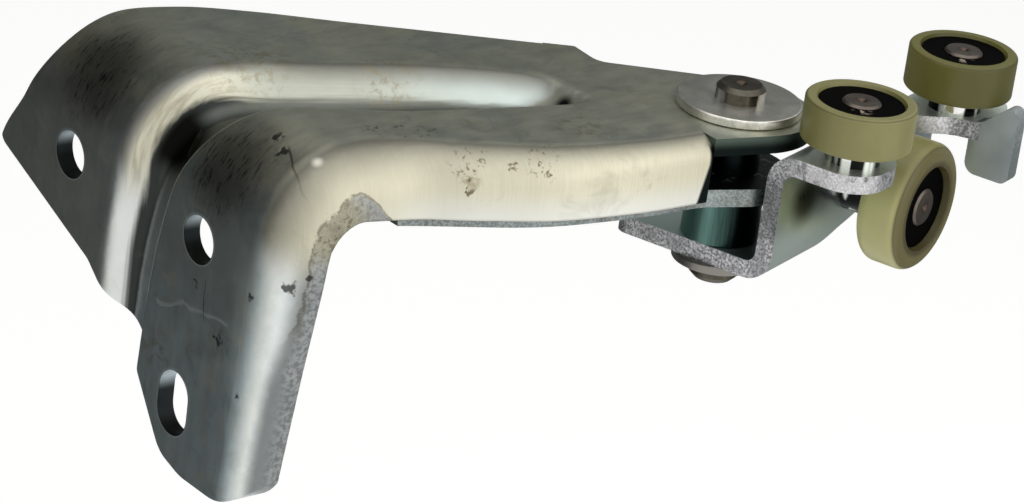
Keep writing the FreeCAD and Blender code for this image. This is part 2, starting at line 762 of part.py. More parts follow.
def make_rollers():
    for name in ("front_guide", "rear_guide"):
        seat = Vector(size("guide_reach"), size(name + "_along"), size("guide_bottom"))
        frame = carriage.multiply(FreeCAD.Placement(seat, FreeCAD.Rotation()))
        stand = "Sizes.guide_bottom - Sizes.tab_top"
        make_roller(name, frame, "guide", stand)
    seat = Vector(size("load_inner"), size("load_along"), size("load_axle_z"))
    outwards = FreeCAD.Rotation(UP, Vector(1, 0, 0))
    frame = carriage.multiply(FreeCAD.Placement(seat, outwards))
    stand = "Sizes.load_inner - Sizes.web_inner - Sizes.carriage_thick"
    make_roller("load", frame, "load", stand)


make_arm()
make_lower_plate()
make_pivot()
make_bracket()
make_rollers()
doc.recompute()

for item in doc.Objects:
    if "Invalid" in item.State or "Error" in item.State:
        raise RuntimeError(f"{item.Label} did not build: {item.State}")
for piece in pieces:
    if piece.Shape.isNull() or not piece.Shape.isValid() or not piece.Shape.Solids:
        raise RuntimeError(f"{piece.Label} has no valid solid")

os.makedirs("parts", exist_ok=True)
for piece in pieces:
    piece.Shape.exportStep(f"parts/{piece.Label}.step")
    print(piece.Label, round(piece.Shape.Volume), "mm3")
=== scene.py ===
# %% [markdown]
# # Sliding door roller guide
# The packed model is the fixed frame of this scene: every piece already lies where the real one
# is, in metres. The box of the model is kept after loading and printed.

# %% Load the frame
import json
import math
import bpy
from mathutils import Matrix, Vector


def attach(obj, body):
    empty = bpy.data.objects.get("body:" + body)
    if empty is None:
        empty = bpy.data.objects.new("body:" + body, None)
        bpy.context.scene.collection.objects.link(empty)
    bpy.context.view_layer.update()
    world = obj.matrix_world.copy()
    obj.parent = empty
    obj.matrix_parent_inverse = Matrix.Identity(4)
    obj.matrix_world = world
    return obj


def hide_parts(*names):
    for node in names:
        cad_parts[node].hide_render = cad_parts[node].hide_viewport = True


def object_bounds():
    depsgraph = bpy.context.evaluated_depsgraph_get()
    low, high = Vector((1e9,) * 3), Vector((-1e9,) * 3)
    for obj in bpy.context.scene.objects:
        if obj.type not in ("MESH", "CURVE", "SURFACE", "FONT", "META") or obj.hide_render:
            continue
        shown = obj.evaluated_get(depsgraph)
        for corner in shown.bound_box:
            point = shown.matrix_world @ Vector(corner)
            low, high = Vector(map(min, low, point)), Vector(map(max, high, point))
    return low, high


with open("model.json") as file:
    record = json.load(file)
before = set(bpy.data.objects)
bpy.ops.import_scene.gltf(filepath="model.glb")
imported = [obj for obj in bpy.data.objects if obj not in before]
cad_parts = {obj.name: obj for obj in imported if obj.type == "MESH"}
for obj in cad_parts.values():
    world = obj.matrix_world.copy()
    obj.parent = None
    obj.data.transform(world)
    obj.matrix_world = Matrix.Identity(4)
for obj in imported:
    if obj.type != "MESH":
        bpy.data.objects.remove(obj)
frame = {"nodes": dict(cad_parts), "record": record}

from types import SimpleNamespace

import bmesh
import bpy
from mathutils import Matrix, Vector

scene = bpy.context.scene
nodes = frame["nodes"]
cad_box = [list(corner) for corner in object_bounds()]
print("pieces in the frame:", len(nodes), "box", cad_box)

# %% [markdown]
# ## Camera
# The part is seen from the front left and from above, through a long lens. The camera is given
# by where it stands and by its three directions, because the picture is also turned a little
# about the line of sight.

# %% Camera
STAND = Vector((-0.6063, -0.8303, 0.4387))
RIGHT = Vector((0.77497, -0.61991, 0.12357))
UPWARD = Vector((0.16007, 0.38160, 0.91038))
LENS_MM = 149.6
SENSOR_MM = 36.0
NEAREST_SEEN = 0.05

lens = bpy.data.cameras.new("long_lens")
lens.lens = LENS_MM
lens.sensor_width = SENSOR_MM
lens.clip_start = NEAREST_SEEN
camera = bpy.data.objects.new("camera", lens)
scene.collection.objects.link(camera)
turn = Matrix((RIGHT, UPWARD, RIGHT.cross(UPWARD))).transposed()
camera.matrix_world = Matrix.Translation(STAND) @ turn.to_4x4()
scene.camera = camera
print("camera stands", round(STAND.length, 3), "m from the flange")

# %% [markdown]
# ## Shader arithmetic
# A finish is a small formula: masks are multiplied, subtracted and blended. The class below wraps
# one socket, so a formula can be written as Python arithmetic, and one method adds any other node.

# %% Socket arithmetic


class Wire:
    """One output socket of a node tree; arithmetic on it adds Math nodes."""

    def __init__(self, tree, socket=None):
        self.tree = tree
        self.socket = socket

    def node(self, kind, settings=None, sockets=None, out=0):
        """Add a node: its settings first, then a value or a link for each named socket."""
        made = self.tree.nodes.new("ShaderNode" + kind)
        for name, value in (settings or {}).items():
            setattr(made, name, value)
        for name, value in (sockets or {}).items():
            if isinstance(value, Wire):
                self.tree.links.new(value.socket, made.inputs[name])
            else:
                made.inputs[name].default_value = value
        return Wire(self.tree, made.outputs[out] if made.outputs else None)

    def maths(self, operation, first, second):
        return self.node("Math", {"operation": operation}, {0: first, 1: second})

    def vectors(self, operation, first, second, out=0):
        """Vector Math node; out is 1 where its answer is a number."""
        return self.node("VectorMath", {"operation": operation}, {0: first, 1: second}, out)

    def __add__(self, other):
        return self.maths("ADD", self, other)

    def __sub__(self, other):
        return self.maths("SUBTRACT", self, other)

    def __rsub__(self, other):
        return self.maths("SUBTRACT", other, self)

    def __mul__(self, other):
        return self.maths("MULTIPLY", self, other)

    def __pow__(self, other):
        return self.maths("POWER", self, other)

    def __abs__(self):
        return self.maths("ABSOLUTE", self, 0.0)

    __radd__ = __add__
    __rmul__ = __mul__

    def fade(self, low, high):
        """0 below low, 1 above high, eased between; high below low turns it round."""
        sockets = {"Value": self, "From Min": low, "From Max": high}
        return self.node("MapRange", {"interpolation_type": "SMOOTHSTEP"}, sockets)

    def tint(self, first, second):
        """Blend of two colours, by this mask."""
        return self.node("Mix", {"data_type": "RGBA"}, {"Factor": self, 6: first, 7: second}, 2)

    def noise(self, places, scale, detail=3.0, rough=0.55, distort=0.0):
        sockets = {"Vector": places, "Scale": scale, "Detail": detail, "Roughness": rough}
        sockets["Distortion"] = distort
        return self.node("TexNoise", {}, sockets)

    def near(self, places, centre, reach, soft):
        """Mask of a round patch about a centre, with a soft rim."""
        return self.vectors("DISTANCE", places, centre, 1).fade(reach + soft, reach)


print("reflected operators:", [name for name in vars(Wire) if name.startswith("__r")])

# %% [markdown]
# Every finish starts and ends in the same way, so that is written once: an empty material with the
# places on its piece, and at the end a bump and the Principled shader.

# %% Start and close a finish
WHITE = (1, 1, 1, 1)
BLACK = (0, 0, 0, 1)


def new_finish(name):
    """Empty material; returns it, its wire and its places."""
    material = bpy.data.materials.new(name)
    material.use_nodes = True
    material.node_tree.nodes.clear()
    wire = Wire(material.node_tree)
    return material, wire, wire.node("TexCoord", out="Object")


def close_finish(wire, sockets):
    """Principled shader with these sockets, joined to the material's output."""
    shader = wire.node("BsdfPrincipled", {}, sockets)
    wire.node("OutputMaterial", {}, {"Surface": shader})


def close_metal(wire, colour, rough, bump, metallic=1.0):
    sockets = {"Base Color": colour, "Metallic": metallic, "Roughness": rough, "Normal": bump}
    close_finish(wire, sockets)


def raised(wire, height, strength, distance):
    """Bump of a height, for the shader's Normal."""
    return wire.node("Bump", {}, {"Height": height, "Strength": strength, "Distance": distance})


def split(wire, vector):
    """The three numbers of a vector."""
    return [wire.node("SeparateXYZ", {}, {0: vector}, out) for out in "XYZ"]


def largest(wire, masks):
    whole = masks[0]
    for mask in masks[1:]:
        whole = wire.maths("MAXIMUM", whole, mask)
    return whole


print("materials before the first finish:", len(bpy.data.materials))

# %% [markdown]
# ## Studio
# The floor is plain and pale, and soft lamps stand in front and hang overhead. Bright metal shows
# its surroundings, so, as a photographer would, grey cards stand behind the part and to its right,
# where only reflections see them. They give the flat faces their dark tone, while the shoulders
# mirror the white room. A white room alone would leave the metal without any form.

# %% Floor
FLOOR_DROP = 0.25
FLOOR_SIZE = 8
PAPER_TONE = (0.86, 0.86, 0.85, 1)
PAPER_GLOW = 0.365
floor_height = cad_box[0][2] - FLOOR_DROP


def plate(name, size_x, size_y, place):
    """Flat stage piece of two sizes, moved by a matrix."""
    mesh = bpy.data.meshes.new(name)
    work = bmesh.new()
    bmesh.ops.create_grid(work, x_segments=1, y_segments=1, size=0.5)
    bmesh.ops.scale(work, vec=(size_x, size_y, 1), verts=work.verts)
    bmesh.ops.transform(work, matrix=place, verts=work.verts)
    work.to_mesh(mesh)
    work.free()
    piece = bpy.data.objects.new(name, mesh)
    scene.collection.objects.link(piece)
    return piece


def seen_plainly(wire):
    """1 for rays from the camera, mirrors and glass; 0 for light that falls on things."""
    ways = ("Is Camera Ray", "Is Glossy Ray", "Is Transmission Ray")
    return largest(wire, [wire.node("LightPath", out=way) for way in ways])


def paper_finish():
    """Paper that takes the shadow, and glows a little to the camera and to mirrors."""
    material, wire, _ = new_finish("pale_paper")
    lit = wire.node("BsdfDiffuse", {}, {"Color": PAPER_TONE})
    strength = seen_plainly(wire) * PAPER_GLOW
    glow = wire.node("Emission", {}, {"Color": WHITE, "Strength": strength})
    both = wire.node("AddShader", {}, {0: lit, 1: glow})
    wire.node("OutputMaterial", {}, {"Surface": both})
    return material


floor = plate("floor", FLOOR_SIZE, FLOOR_SIZE, Matrix.Translation((0, 0, floor_height)))
floor.data.materials.append(paper_finish())
print("floor at", round(floor_height, 3))

# %% [markdown]
# A card could be one even grey, but then every flat face would have one tone. Each card here is
# shaded across its width or height, as a real one is when the light falls off along it.

# %% Grey cards
CARD_TINT = (0.94, 1.0, 0.985, 1)


def grey_card(name, width, height, place, turn, shade):
    """Upright card that only reflections see; shade gives its tone from wire and places."""
    heading = Matrix.Rotation(math.radians(turn), 4, "Z")
    stand_up = heading @ Matrix.Rotation(math.radians(90), 4, "X")
    lift = Vector((place[0], place[1], floor_height + height / 2))
    card = plate(name, width, height, Matrix.Translation(lift) @ stand_up)
    card.visible_camera = False
    card.visible_diffuse = False
    card.visible_shadow = False
    card.visible_transmission = False
    finish, wire, places = new_finish(name)
    tone = shade(wire, places).tint(BLACK, CARD_TINT)
    flat = wire.node("Emission", {}, {"Color": tone})
    wire.node("OutputMaterial", {}, {"Surface": flat})
    card.data.materials.append(finish)


def back_shade(wire, places):
    """Nearly black at the upper left, grey below it, paler to the right."""
    x, _, z = split(wire, places)
    left = x.fade(0.09, -0.02)
    shade = 0.16 - left * 0.13 + left * z.fade(0.03, -0.05) * 0.06
    return shade - x.fade(0.11, 0.2) * 0.035 + x.fade(0.3, 0.55) * 0.24


def right_shade(wire, places):
    """Paler towards the top."""
    z = split(wire, places)[2]
    return z.fade(-0.1, 0.1) * 0.1 + 0.2


grey_card("back_card", 1.6, 0.66, (0.15, 0.095), 0, back_shade)
grey_card("right_card", 0.36, 0.45, (0.34, -0.09), 90, right_shade)

# %% [markdown]
# ## Light
# Large lamps make soft light. A lamp is also seen in the metal, so a large, weak one is better
# here than a small, strong one. The room itself is white to the camera and to mirrors, and gives
# less light to the surfaces, so that a colour renders about as it is written.

# %% Lamps and room
AMBIENT = 0.6
MIDDLE_OF_PART = Vector((0.1, -0.03, 0.0))


def soft_lamp(name, watts, width, place):
    """Square lamp that looks at the middle of the part."""
    data = bpy.data.lights.new(name, "AREA")
    data.shape = "SQUARE"
    data.size = width
    data.energy = watts
    lamp = bpy.data.objects.new(name, data)
    scene.collection.objects.link(lamp)
    aimed = (MIDDLE_OF_PART - Vector(place)).to_track_quat("-Z", "Y")
    lamp.matrix_world = Matrix.Translation(place) @ aimed.to_matrix().to_4x4()


soft_lamp("front_softbox", 4.5, 1.6, (0.55, -1.2, 0.8))
soft_lamp("top_softbox", 4.0, 1.4, (-0.1, -0.2, 1.4))

room = bpy.data.worlds.new("white_room")
room.use_nodes = True
room.node_tree.nodes.clear()
air = Wire(room.node_tree)
level = seen_plainly(air) * (1 - AMBIENT) + AMBIENT
back = air.node("Background", {}, {"Color": WHITE, "Strength": level})
air.node("OutputWorld", {}, {"Surface": back})
scene.world = room
scene.view_settings.view_transform = "Standard"
print("lamps:", len(bpy.data.lights), "ambient", AMBIENT)

# %% [markdown]
# ## Where things are
# Marks on the metal have places, so the finishes need to know a few directions. The carriage is
# turned about the pivot: "reach" runs outwards across the rail and "along" runs with the rail.
# These are directions of the part itself, so a mark stays where it is from every side.

# %% Directions
PIVOT = Vector((0.140, -0.0754, 0.0))
REACH = Vector((0.30486, -0.95240, 0.0))
ALONG = Vector((0.95240, 0.30486, 0.0))


def facing_of(wire):
    """The way the surface looks."""
    return wire.node("TexCoord", out="Normal")


def measured(wire, places, direction):
    """Distance from the pivot in one direction."""
    return wire.vectors("DOT_PRODUCT", places, direction, 1) - PIVOT.dot(direction)


def looks_outwards(wire, facing):
    """1 for a surface that looks out across the rail, -1 for one that looks back at the arm."""
    return wire.vectors("DOT_PRODUCT", facing, REACH, 1)


print("carriage reaches towards", tuple(round(v, 3) for v in REACH))

# %% [markdown]
# Real plating is never even. Three patterns cover most of it: wide clouds, a finer mottle, and
# noise that is drawn out into streaks by scaling its places. A mark is a round patch with a soft
# rim, and shaking the places first gives it a ragged outline.

# %% Patterns and patches
HALF = (0.5, 0.5, 0.5)


def clouds(wire, places, scale):
    return wire.noise(places, scale, 4, 0.6, 0.5)


def mottling(wire, places, scale):
    return wire.noise(places, scale, 4, 0.65, 0.3)


def drawn_out(wire, places, factors):
    """Places scaled by three factors, so that noise on them becomes streaks."""
    return wire.vectors("MULTIPLY", places, factors)


def patches(wire, places, marks):
    """Mask of several round patches, each a centre, a reach and a soft rim."""
    return largest(wire, [wire.near(places, centre, reach, soft) for centre, reach, soft in marks])


def shaken(wire, places, scale, reach):
    """Places moved about a little, so that a round patch on them gets a ragged outline."""
    drift = wire.node("TexNoise", {}, {"Vector": places, "Scale": scale, "Detail": 3.0}, "Color")
    drift = wire.vectors("SUBTRACT", drift, HALF)
    drift = wire.node("VectorMath", {"operation": "SCALE"}, {0: drift, "Scale": reach})
    return wire.vectors("ADD", places, drift)


print("patterns: clouds, mottling, streaks, patches")

# %% [markdown]
# ## Pressed arm
# The arm is zinc-plated sheet, pressed in a die. Its flats are smooth and cool, its turned-down
# wall keeps fine upright brush lines and is painted creamier where it faces the front, partly as
# painted light, the tight side of the groove is painted black as shade, and the cut edge of the
# wall is torn and grainy. Handling left stains and chips, and the bend has darker patches.
# One finish holds it all, because on the real part it is one skin: each mark is a mask. The lists
# give each mark a centre, a reach and a soft rim.

# %% Marks on the arm
CHIPS = [
    ((0.0054, -0.0628, -0.0006), 0.0012, 0.0009), ((0.0001, -0.0524, -0.0349), 0.0006, 0.0006),
    ((0.0, -0.0425, -0.0230), 0.0006, 0.0010), ((0.0002, -0.0536, -0.0058), 0.0006, 0.0007),
    ((0.0135, -0.0400, 0.0302), 0.0010, 0.0010), ((0.0114, -0.0458, 0.0290), 0.0009, 0.0009),
    ((0.0096, -0.0652, 0.0019), 0.0007, 0.0008), ((0.0, -0.0302, -0.0120), 0.0005, 0.0006),
]
SPECKS = [
    ((0.0500, -0.0735, 0.0290), 0.0008, 0.0008), ((0.0503, -0.0748, 0.0262), 0.0006, 0.0008),
    ((0.0500, -0.0752, 0.0235), 0.0005, 0.0006), ((0.0612, -0.0775, 0.0300), 0.0006, 0.0008),
    ((0.0692, -0.0826, 0.0278), 0.0005, 0.0008), ((0.0150, -0.0665, 0.0145), 0.0016, 0.0016),
]
STAINS = [
    ((0.0502, -0.0745, 0.0262), 0.0010, 0.0036), ((0.0655, -0.0190, 0.0305), 0.0040, 0.0080),
    ((0.0330, 0.0010, 0.0335), 0.0060, 0.0120), ((0.0, -0.0161, -0.0375), 0.0020, 0.0080),
    ((0.0, -0.0434, -0.0226), 0.0015, 0.0060), ((0.0900, -0.0700, 0.0335), 0.0030, 0.0100),
]
RUST = [
    ((0.0368, -0.0519, 0.0335), 0.0015, 0.0045), ((0.0424, -0.0548, 0.0335), 0.0015, 0.0050),
    ((0.0480, -0.0582, 0.0335), 0.0015, 0.0045), ((0.0515, -0.0725, 0.0300), 0.0020, 0.0055),
    ((0.0690, -0.0795, 0.0310), 0.0015, 0.0055),
]
BEND_DARK_PATCHES = [
    ((0.0060, 0.0270, 0.0240), 0.0040, 0.0170), ((0.0045, -0.0340, 0.0210), 0.0040, 0.0160),
]
HIGHLIGHT_SPOT = [((0.0144, -0.0566, 0.0300), 0.0002, 0.0020)]
GROOVE_END = [((0.1010, -0.0496, 0.0300), 0.0008, 0.0030)]
BEND_BLACK_PATCH = [((0.0110, -0.0030, 0.0155), 0.0050, 0.0070)]
BEND_PATCH = [((0.0150, -0.0660, 0.0150), 0.005, 0.008)]
marks = CHIPS + SPECKS + STAINS + RUST + BEND_DARK_PATCHES + HIGHLIGHT_SPOT + GROOVE_END + BEND_BLACK_PATCH + BEND_PATCH
print("marks on the arm:", len(marks))

# %% [markdown]
# The pressing's tone comes from regions: the flats, the side that faces the front, and the groove.
# They could be separate materials, but on one sheet they run into each other, so each is a mask.
# "Depth" is the distance below the outer face, and it follows the bend.

# %% Regions of the pressing
BEND_RADIUS = 0.026
BEND_START = 0.0075
GROOVE_DRIFT_START = 0.02
GROOVE_DRIFT = 0.42


def pressing_depth(wire, x, z):
    """Depth below the outer face of the pressing, round the bend too."""
    inward = wire.maths("MAXIMUM", BEND_RADIUS - x, 0.0)
    upward = wire.maths("MAXIMUM", z - BEND_START, 0.0)
    return BEND_RADIUS - (inward * inward + upward * upward) ** 0.5


def groove_lines(wire, x, y, depth):
    """Noise drawn out along the groove, which drifts sideways as it leaves the bend."""
    drift = y + wire.maths("MAXIMUM", x - GROOVE_DRIFT_START, 0.0) * GROOVE_DRIFT
    path = wire.node("CombineXYZ", {}, {"X": drift * 600, "Y": depth * 600, "Z": x * 25})
    return wire.noise(path, 1.0, 4, 0.6)


def pressing_regions(wire, places):
    """Where a point of the pressing is, the way it looks, and the masks that its tones share."""
    x, y, z = split(wire, places)
    to_x, to_y, to_z = split(wire, facing_of(wire))
    depth = pressing_depth(wire, x, z)
    upper = z.fade(-0.004, 0.014)
    return SimpleNamespace(
        x=x, y=y, z=z, to_x=to_x, to_y=to_y, to_z=to_z, depth=depth, upper=upper,
        # front: the side that looks to the front; the tones it takes are partly painted light
        front=(0 - to_y + upper * 0.12).fade(0.15, 0.8 - upper * 0.42),
        groove=y.fade(-0.056, -0.050) * (to_z - to_x).fade(0.0, 0.3),
        lines=groove_lines(wire, x, y, depth),
        mottle=mottling(wire, places, 150),
    )


print("outer radius of the bend:", BEND_RADIUS)

# %% [markdown]
# The flats are the top of the arm and the door flange. The zinc is cool and clouded there, and
# hands have wiped it: long grey wipes and small blotches lie over the clouds.

# %% Tone of the flats
FLAT_COOL, FLAT_WARM = (0.52, 0.55, 0.475, 1), (0.64, 0.625, 0.49, 1)
FLANGE_HIGH, FLANGE_LOW = (0.38, 0.435, 0.435, 1), (0.5, 0.58, 0.605, 1)
FLANGE_REAR = (0.47, 0.485, 0.465, 1)
WIPED_GREY = (0.37, 0.38, 0.33, 1)
BLOTCH_PALE, BLOTCH_DARK = (0.66, 0.64, 0.5, 1), (0.3, 0.33, 0.31, 1)


def flat_tone(wire, places, at):
    cloud = clouds(wire, places, 26).fade(0.34, 0.68)
    wiped = wire.noise(drawn_out(wire, places, (90, 260, 60)), 1.0, 4, 0.65).fade(0.36, 0.66)
    blotchy = wire.noise(places, 110, 5, 0.7, 0.6)
    flange = at.z.fade(0.0, -0.04).tint(FLANGE_HIGH, FLANGE_LOW)
    flange = at.y.fade(0.0, 0.02).tint(flange, FLANGE_REAR)
    flat = cloud.tint(FLAT_COOL, FLAT_WARM)
    flat = (0 - at.to_x).fade(0.75, 0.97).tint(flat, flange)
    flat = (wiped * 0.42).tint(flat, WIPED_GREY)
    flat = (blotchy.fade(0.52, 0.7) * 0.35).tint(flat, BLOTCH_PALE)
    return (blotchy.fade(0.48, 0.32) * 0.4).tint(flat, BLOTCH_DARK)


print("flats between", FLAT_COOL[:3], "and", FLAT_WARM[:3])

# %% [markdown]
# The front side is the turned-down wall above and the rounded edge of the flange below. Their
# tones are partly painted light from the front: the wall is cream, brushed upright and painted
# darker at its shoulder as shade, where it turns away from the front; the round below it is
# painted bright silver as a highlight, and greyer, as painted shade, where it looks straight
# ahead. The brush lines are noise drawn out upwards, finer than a bump could show.

# %% Tone of the front side
CREAM_DULL, CREAM_BRIGHT = (0.74, 0.705, 0.54, 1), (0.79, 0.755, 0.585, 1)
CREAM_BEND, CREAM_LOW = (0.5, 0.475, 0.37, 1), (0.86, 0.86, 0.8, 1)
SHOULDER_SHADE = (0.17, 0.165, 0.135, 1)
SHOULDER_SHADE_POWER = 1.8
SILVER_DULL, SILVER_BRIGHT = (0.76, 0.8, 0.79, 1), (0.86, 0.89, 0.88, 1)
ROUND_SHADE_GREY = (0.26, 0.28, 0.28, 1)


def front_tone(wire, places, at):
    brush = wire.noise(drawn_out(wire, places, (2100, 300, 70)), 1.0, 2, 0.5)
    cream = brush.fade(0.3, 0.7).tint(CREAM_DULL, CREAM_BRIGHT)
    cream = (at.x.fade(0.055, 0.02) * 0.35).tint(cream, CREAM_BEND)
    cream = (at.depth.fade(0.008, 0.019) * at.x.fade(0.02, 0.05)).tint(cream, CREAM_LOW)
    # painted shade: the wall darkens as it turns away from the front
    shoulder_shade = wire.maths("MAXIMUM", 0 - at.to_y, 0.0) ** SHOULDER_SHADE_POWER
    cream = shoulder_shade.tint(SHOULDER_SHADE, cream)
    silver = at.mottle.fade(0.35, 0.65).tint(SILVER_DULL, SILVER_BRIGHT)
    # the round is painted bright silver as its highlight, and greyer as painted shade where it
    # looks straight ahead
    turned = (0 - at.to_y) + at.z.fade(-0.01, -0.035) * 0.14
    silver = turned.fade(0.72, 0.98).tint(silver, ROUND_SHADE_GREY)
    return at.upper.tint(silver, cream)


print("wall between", CREAM_DULL[:3], "and", CREAM_BRIGHT[:3])

# %% [markdown]
# In the groove, drawing lines run the way the sheet slid over the die, and painted shade fills
# the foot of the slope, black near the bend. The shade's upper limit moves with the lines, so that
# it is ragged.

# %% Tone of the groove
SLOPE_DULL, SLOPE_BRIGHT = (0.45, 0.42, 0.31, 1), (0.64, 0.62, 0.5, 1)
SLOPE_STRAIGHT, SLOPE_END = (0.44, 0.46, 0.4, 1), (0.54, 0.6, 0.565, 1)
RIM_STRAIGHT, RIM_BEND = (0.2, 0.2, 0.17, 1), (0.22, 0.22, 0.2, 1)
SLOPE_FLANGE_HIGHLIGHT = (0.76, 0.785, 0.77, 1)
GROOVE_SHADE_BEND, GROOVE_SHADE_STRAIGHT = (0.04, 0.045, 0.042, 1), (0.17, 0.175, 0.15, 1)
FOOT_SHADE_GREY = (0.13, 0.14, 0.125, 1)
BEND_BLACK_SHADE = (0.006, 0.006, 0.005, 1)
FOOT_DEPTH = 0.0052


def slope_tone(at):
    slope = at.lines.fade(0.35, 0.62).tint(SLOPE_DULL, SLOPE_BRIGHT)
    slope = (at.x.fade(0.018, 0.036) * 0.8).tint(slope, SLOPE_STRAIGHT)
    slope = at.x.fade(0.05, 0.095).tint(slope, SLOPE_END)
    slope = (at.x.fade(0.025, 0.045) * at.depth.fade(0.0055, 0.0)).tint(slope, RIM_STRAIGHT)
    slope = (at.x.fade(0.04, 0.025) * at.depth.fade(0.0026, 0.0004)).tint(slope, RIM_BEND)
    # painted highlight: the slope is painted bright silver where it runs onto the flange
    return at.z.fade(0.010, -0.010).tint(slope, SLOPE_FLANGE_HIGHLIGHT)


def with_groove_shade(wire, places, at, colour):
    foot = at.x.fade(0.014, 0.03) * 0.0017 - at.z.fade(0.0, -0.02) * 0.0011 + FOOT_DEPTH
    foot = foot + (at.lines - 0.5) * 0.0024
    # painted shade at the foot of the slope, darker at the groove's bottom and black near the bend
    groove_shade = (at.depth - foot).fade(-0.0006, 0.0014) * at.groove * at.front.fade(0.0, 0.3)
    black = patches(wire, places, BEND_BLACK_PATCH) * at.depth.fade(0.0055, 0.0075)
    colour = groove_shade.tint(colour, at.x.fade(0.02, 0.036).tint(GROOVE_SHADE_BEND, GROOVE_SHADE_STRAIGHT))
    colour = (at.depth.fade(0.0075, 0.0092) * at.groove * 0.8).tint(colour, FOOT_SHADE_GREY)
    return (black * at.groove).tint(colour, BEND_BLACK_SHADE)


def pressing_tone(wire, places, at):
    """Base colour of the pressing before its marks."""
    side = at.groove.tint(front_tone(wire, places, at), slope_tone(at))
    # the side that looks to the front takes lighter tones, partly painted light
    colour = at.front.tint(flat_tone(wire, places, at), side)
    return with_groove_shade(wire, places, at, colour)


print("soot from a depth of about", FOOT_DEPTH)

# %% [markdown]
# Over those tones lie the marks, each in its place: darker patches with black strokes on the bend,
# brown stains, specks and rust, chips with small pits, a painted highlight spot, and painted shade
# at the groove's end. Noise breaks their outlines, because a clean round spot would look painted.

# %% Stains and chips
BEND_DARK_GREY, STROKE_BLACK = (0.14, 0.135, 0.115, 1), (0.025, 0.025, 0.02, 1)
STAIN_BROWN, SPECK_BROWN = (0.25, 0.2, 0.105, 1), (0.13, 0.095, 0.045, 1)
RUST_BROWN = (0.1, 0.075, 0.035, 1)
CHIP_DARK = (0.035, 0.035, 0.03, 1)
HIGHLIGHT_SPOT_TONE, GROOVE_END_SHADE = (0.9, 0.88, 0.78, 1), (0.01, 0.012, 0.01, 1)


def with_stains(wire, places, at, colour, blot):
    strokes = wire.noise(drawn_out(wire, places, (240, 1100, 240)), 1.0, 4, 0.7)
    bend_dark = patches(wire, places, BEND_DARK_PATCHES) * (1 - at.front)
    stain = patches(wire, places, STAINS) * blot.fade(0.47, 0.62)
    speck = patches(wire, shaken(wire, places, 520, 0.0065), SPECKS)
    rust = patches(wire, places, RUST) * wire.noise(places, 620, 3, 0.6).fade(0.57, 0.64)
    colour = (bend_dark * 0.85).tint(colour, BEND_DARK_GREY)
    colour = (bend_dark * strokes.fade(0.52, 0.66)).tint(colour, STROKE_BLACK)
    colour = (stain * 0.5).tint(colour, STAIN_BROWN)
    colour = (speck * 0.85).tint(colour, SPECK_BROWN)
    return (rust * 0.75).tint(colour, RUST_BROWN)


def with_chips(wire, places, colour):
    """Colour with chips, pits, a painted highlight spot and painted shade at the groove's end;
    returns the mask of the hollows too.
    """
    chip = patches(wire, shaken(wire, places, 420, 0.006), CHIPS)
    pits = wire.noise(places, 420, 2, 0.5).fade(0.77, 0.84)
    hollow = wire.maths("MAXIMUM", chip, pits * 0.4)
    colour = (hollow * 0.85).tint(colour, CHIP_DARK)
    # painted highlight: a small bright spot on the front strap
    colour = (patches(wire, places, HIGHLIGHT_SPOT) * 0.6).tint(colour, HIGHLIGHT_SPOT_TONE)
    # painted shade at the steep end of the groove
    return patches(wire, places, GROOVE_END).tint(colour, GROOVE_END_SHADE), hollow


print("chips and specks:", len(CHIPS), len(SPECKS))

# %% [markdown]
# The blanking tool tore the cut edge of the wall, so a zone along it is grainy and dull. The zone
# is measured by depth, is wider on the bend, and has a ragged start with a thin dark rim.

# %% Torn edge
TORN_DARK, TORN_PALE = (0.23, 0.24, 0.24, 1), (0.43, 0.45, 0.45, 1)
TORN_TAN, TORN_STRAIGHT = (0.36, 0.325, 0.22, 1), (0.12, 0.115, 0.13, 1)
TORN_RUST, TORN_RIM = (0.1, 0.075, 0.03, 1), (0.13, 0.115, 0.085, 1)
TORN_DEPTH = 0.0092


def with_torn_edge(wire, places, at, colour, blot, grain):
    """Colour with the torn zone; returns the zone's mask too."""
    lower_edge = at.y.fade(-0.05, -0.056)
    straight = at.x.fade(0.022, 0.034)
    ragged = (at.mottle - 0.5) * (0.005 - straight * 0.0042)
    start = TORN_DEPTH + straight * 0.0096 - at.z.fade(-0.004, -0.024) * 0.0042 + ragged
    past = at.depth - start
    torn = past.fade(0.0, 0.0008 + at.z.fade(-0.004, -0.02) * 0.0046) * lower_edge
    tan = patches(wire, places, BEND_PATCH)
    rust = tan * wire.noise(places, 700, 3, 0.6).fade(0.53, 0.6)
    tone = grain.fade(0.36, 0.6).tint(TORN_DARK, TORN_PALE)
    tone = (tan * 0.7).tint(tone, TORN_TAN)
    tone = (straight * 0.6).tint(tone, TORN_STRAIGHT)
    tone = (rust * 0.7).tint(tone, TORN_RUST)
    rim = past.fade(-0.0007, 0.0) * (1 - torn) * lower_edge
    rim = rim * blot.fade(0.38, 0.5) * at.z.fade(-0.02, -0.008)
    colour = (torn * 0.85).tint(colour, tone)
    return (rim * 0.75).tint(colour, TORN_RIM), torn


print("torn from a depth of about", TORN_DEPTH)

# %% [markdown]
# The walls of the bolt holes are painted lit above and black below, as painted light and shade,
# with a painted highlight on a bright rim around each. Their places come from the distance to each
# hole's axis. The cut end of the wall at the eye is painted black as shade, and the shade's limit
# leans.

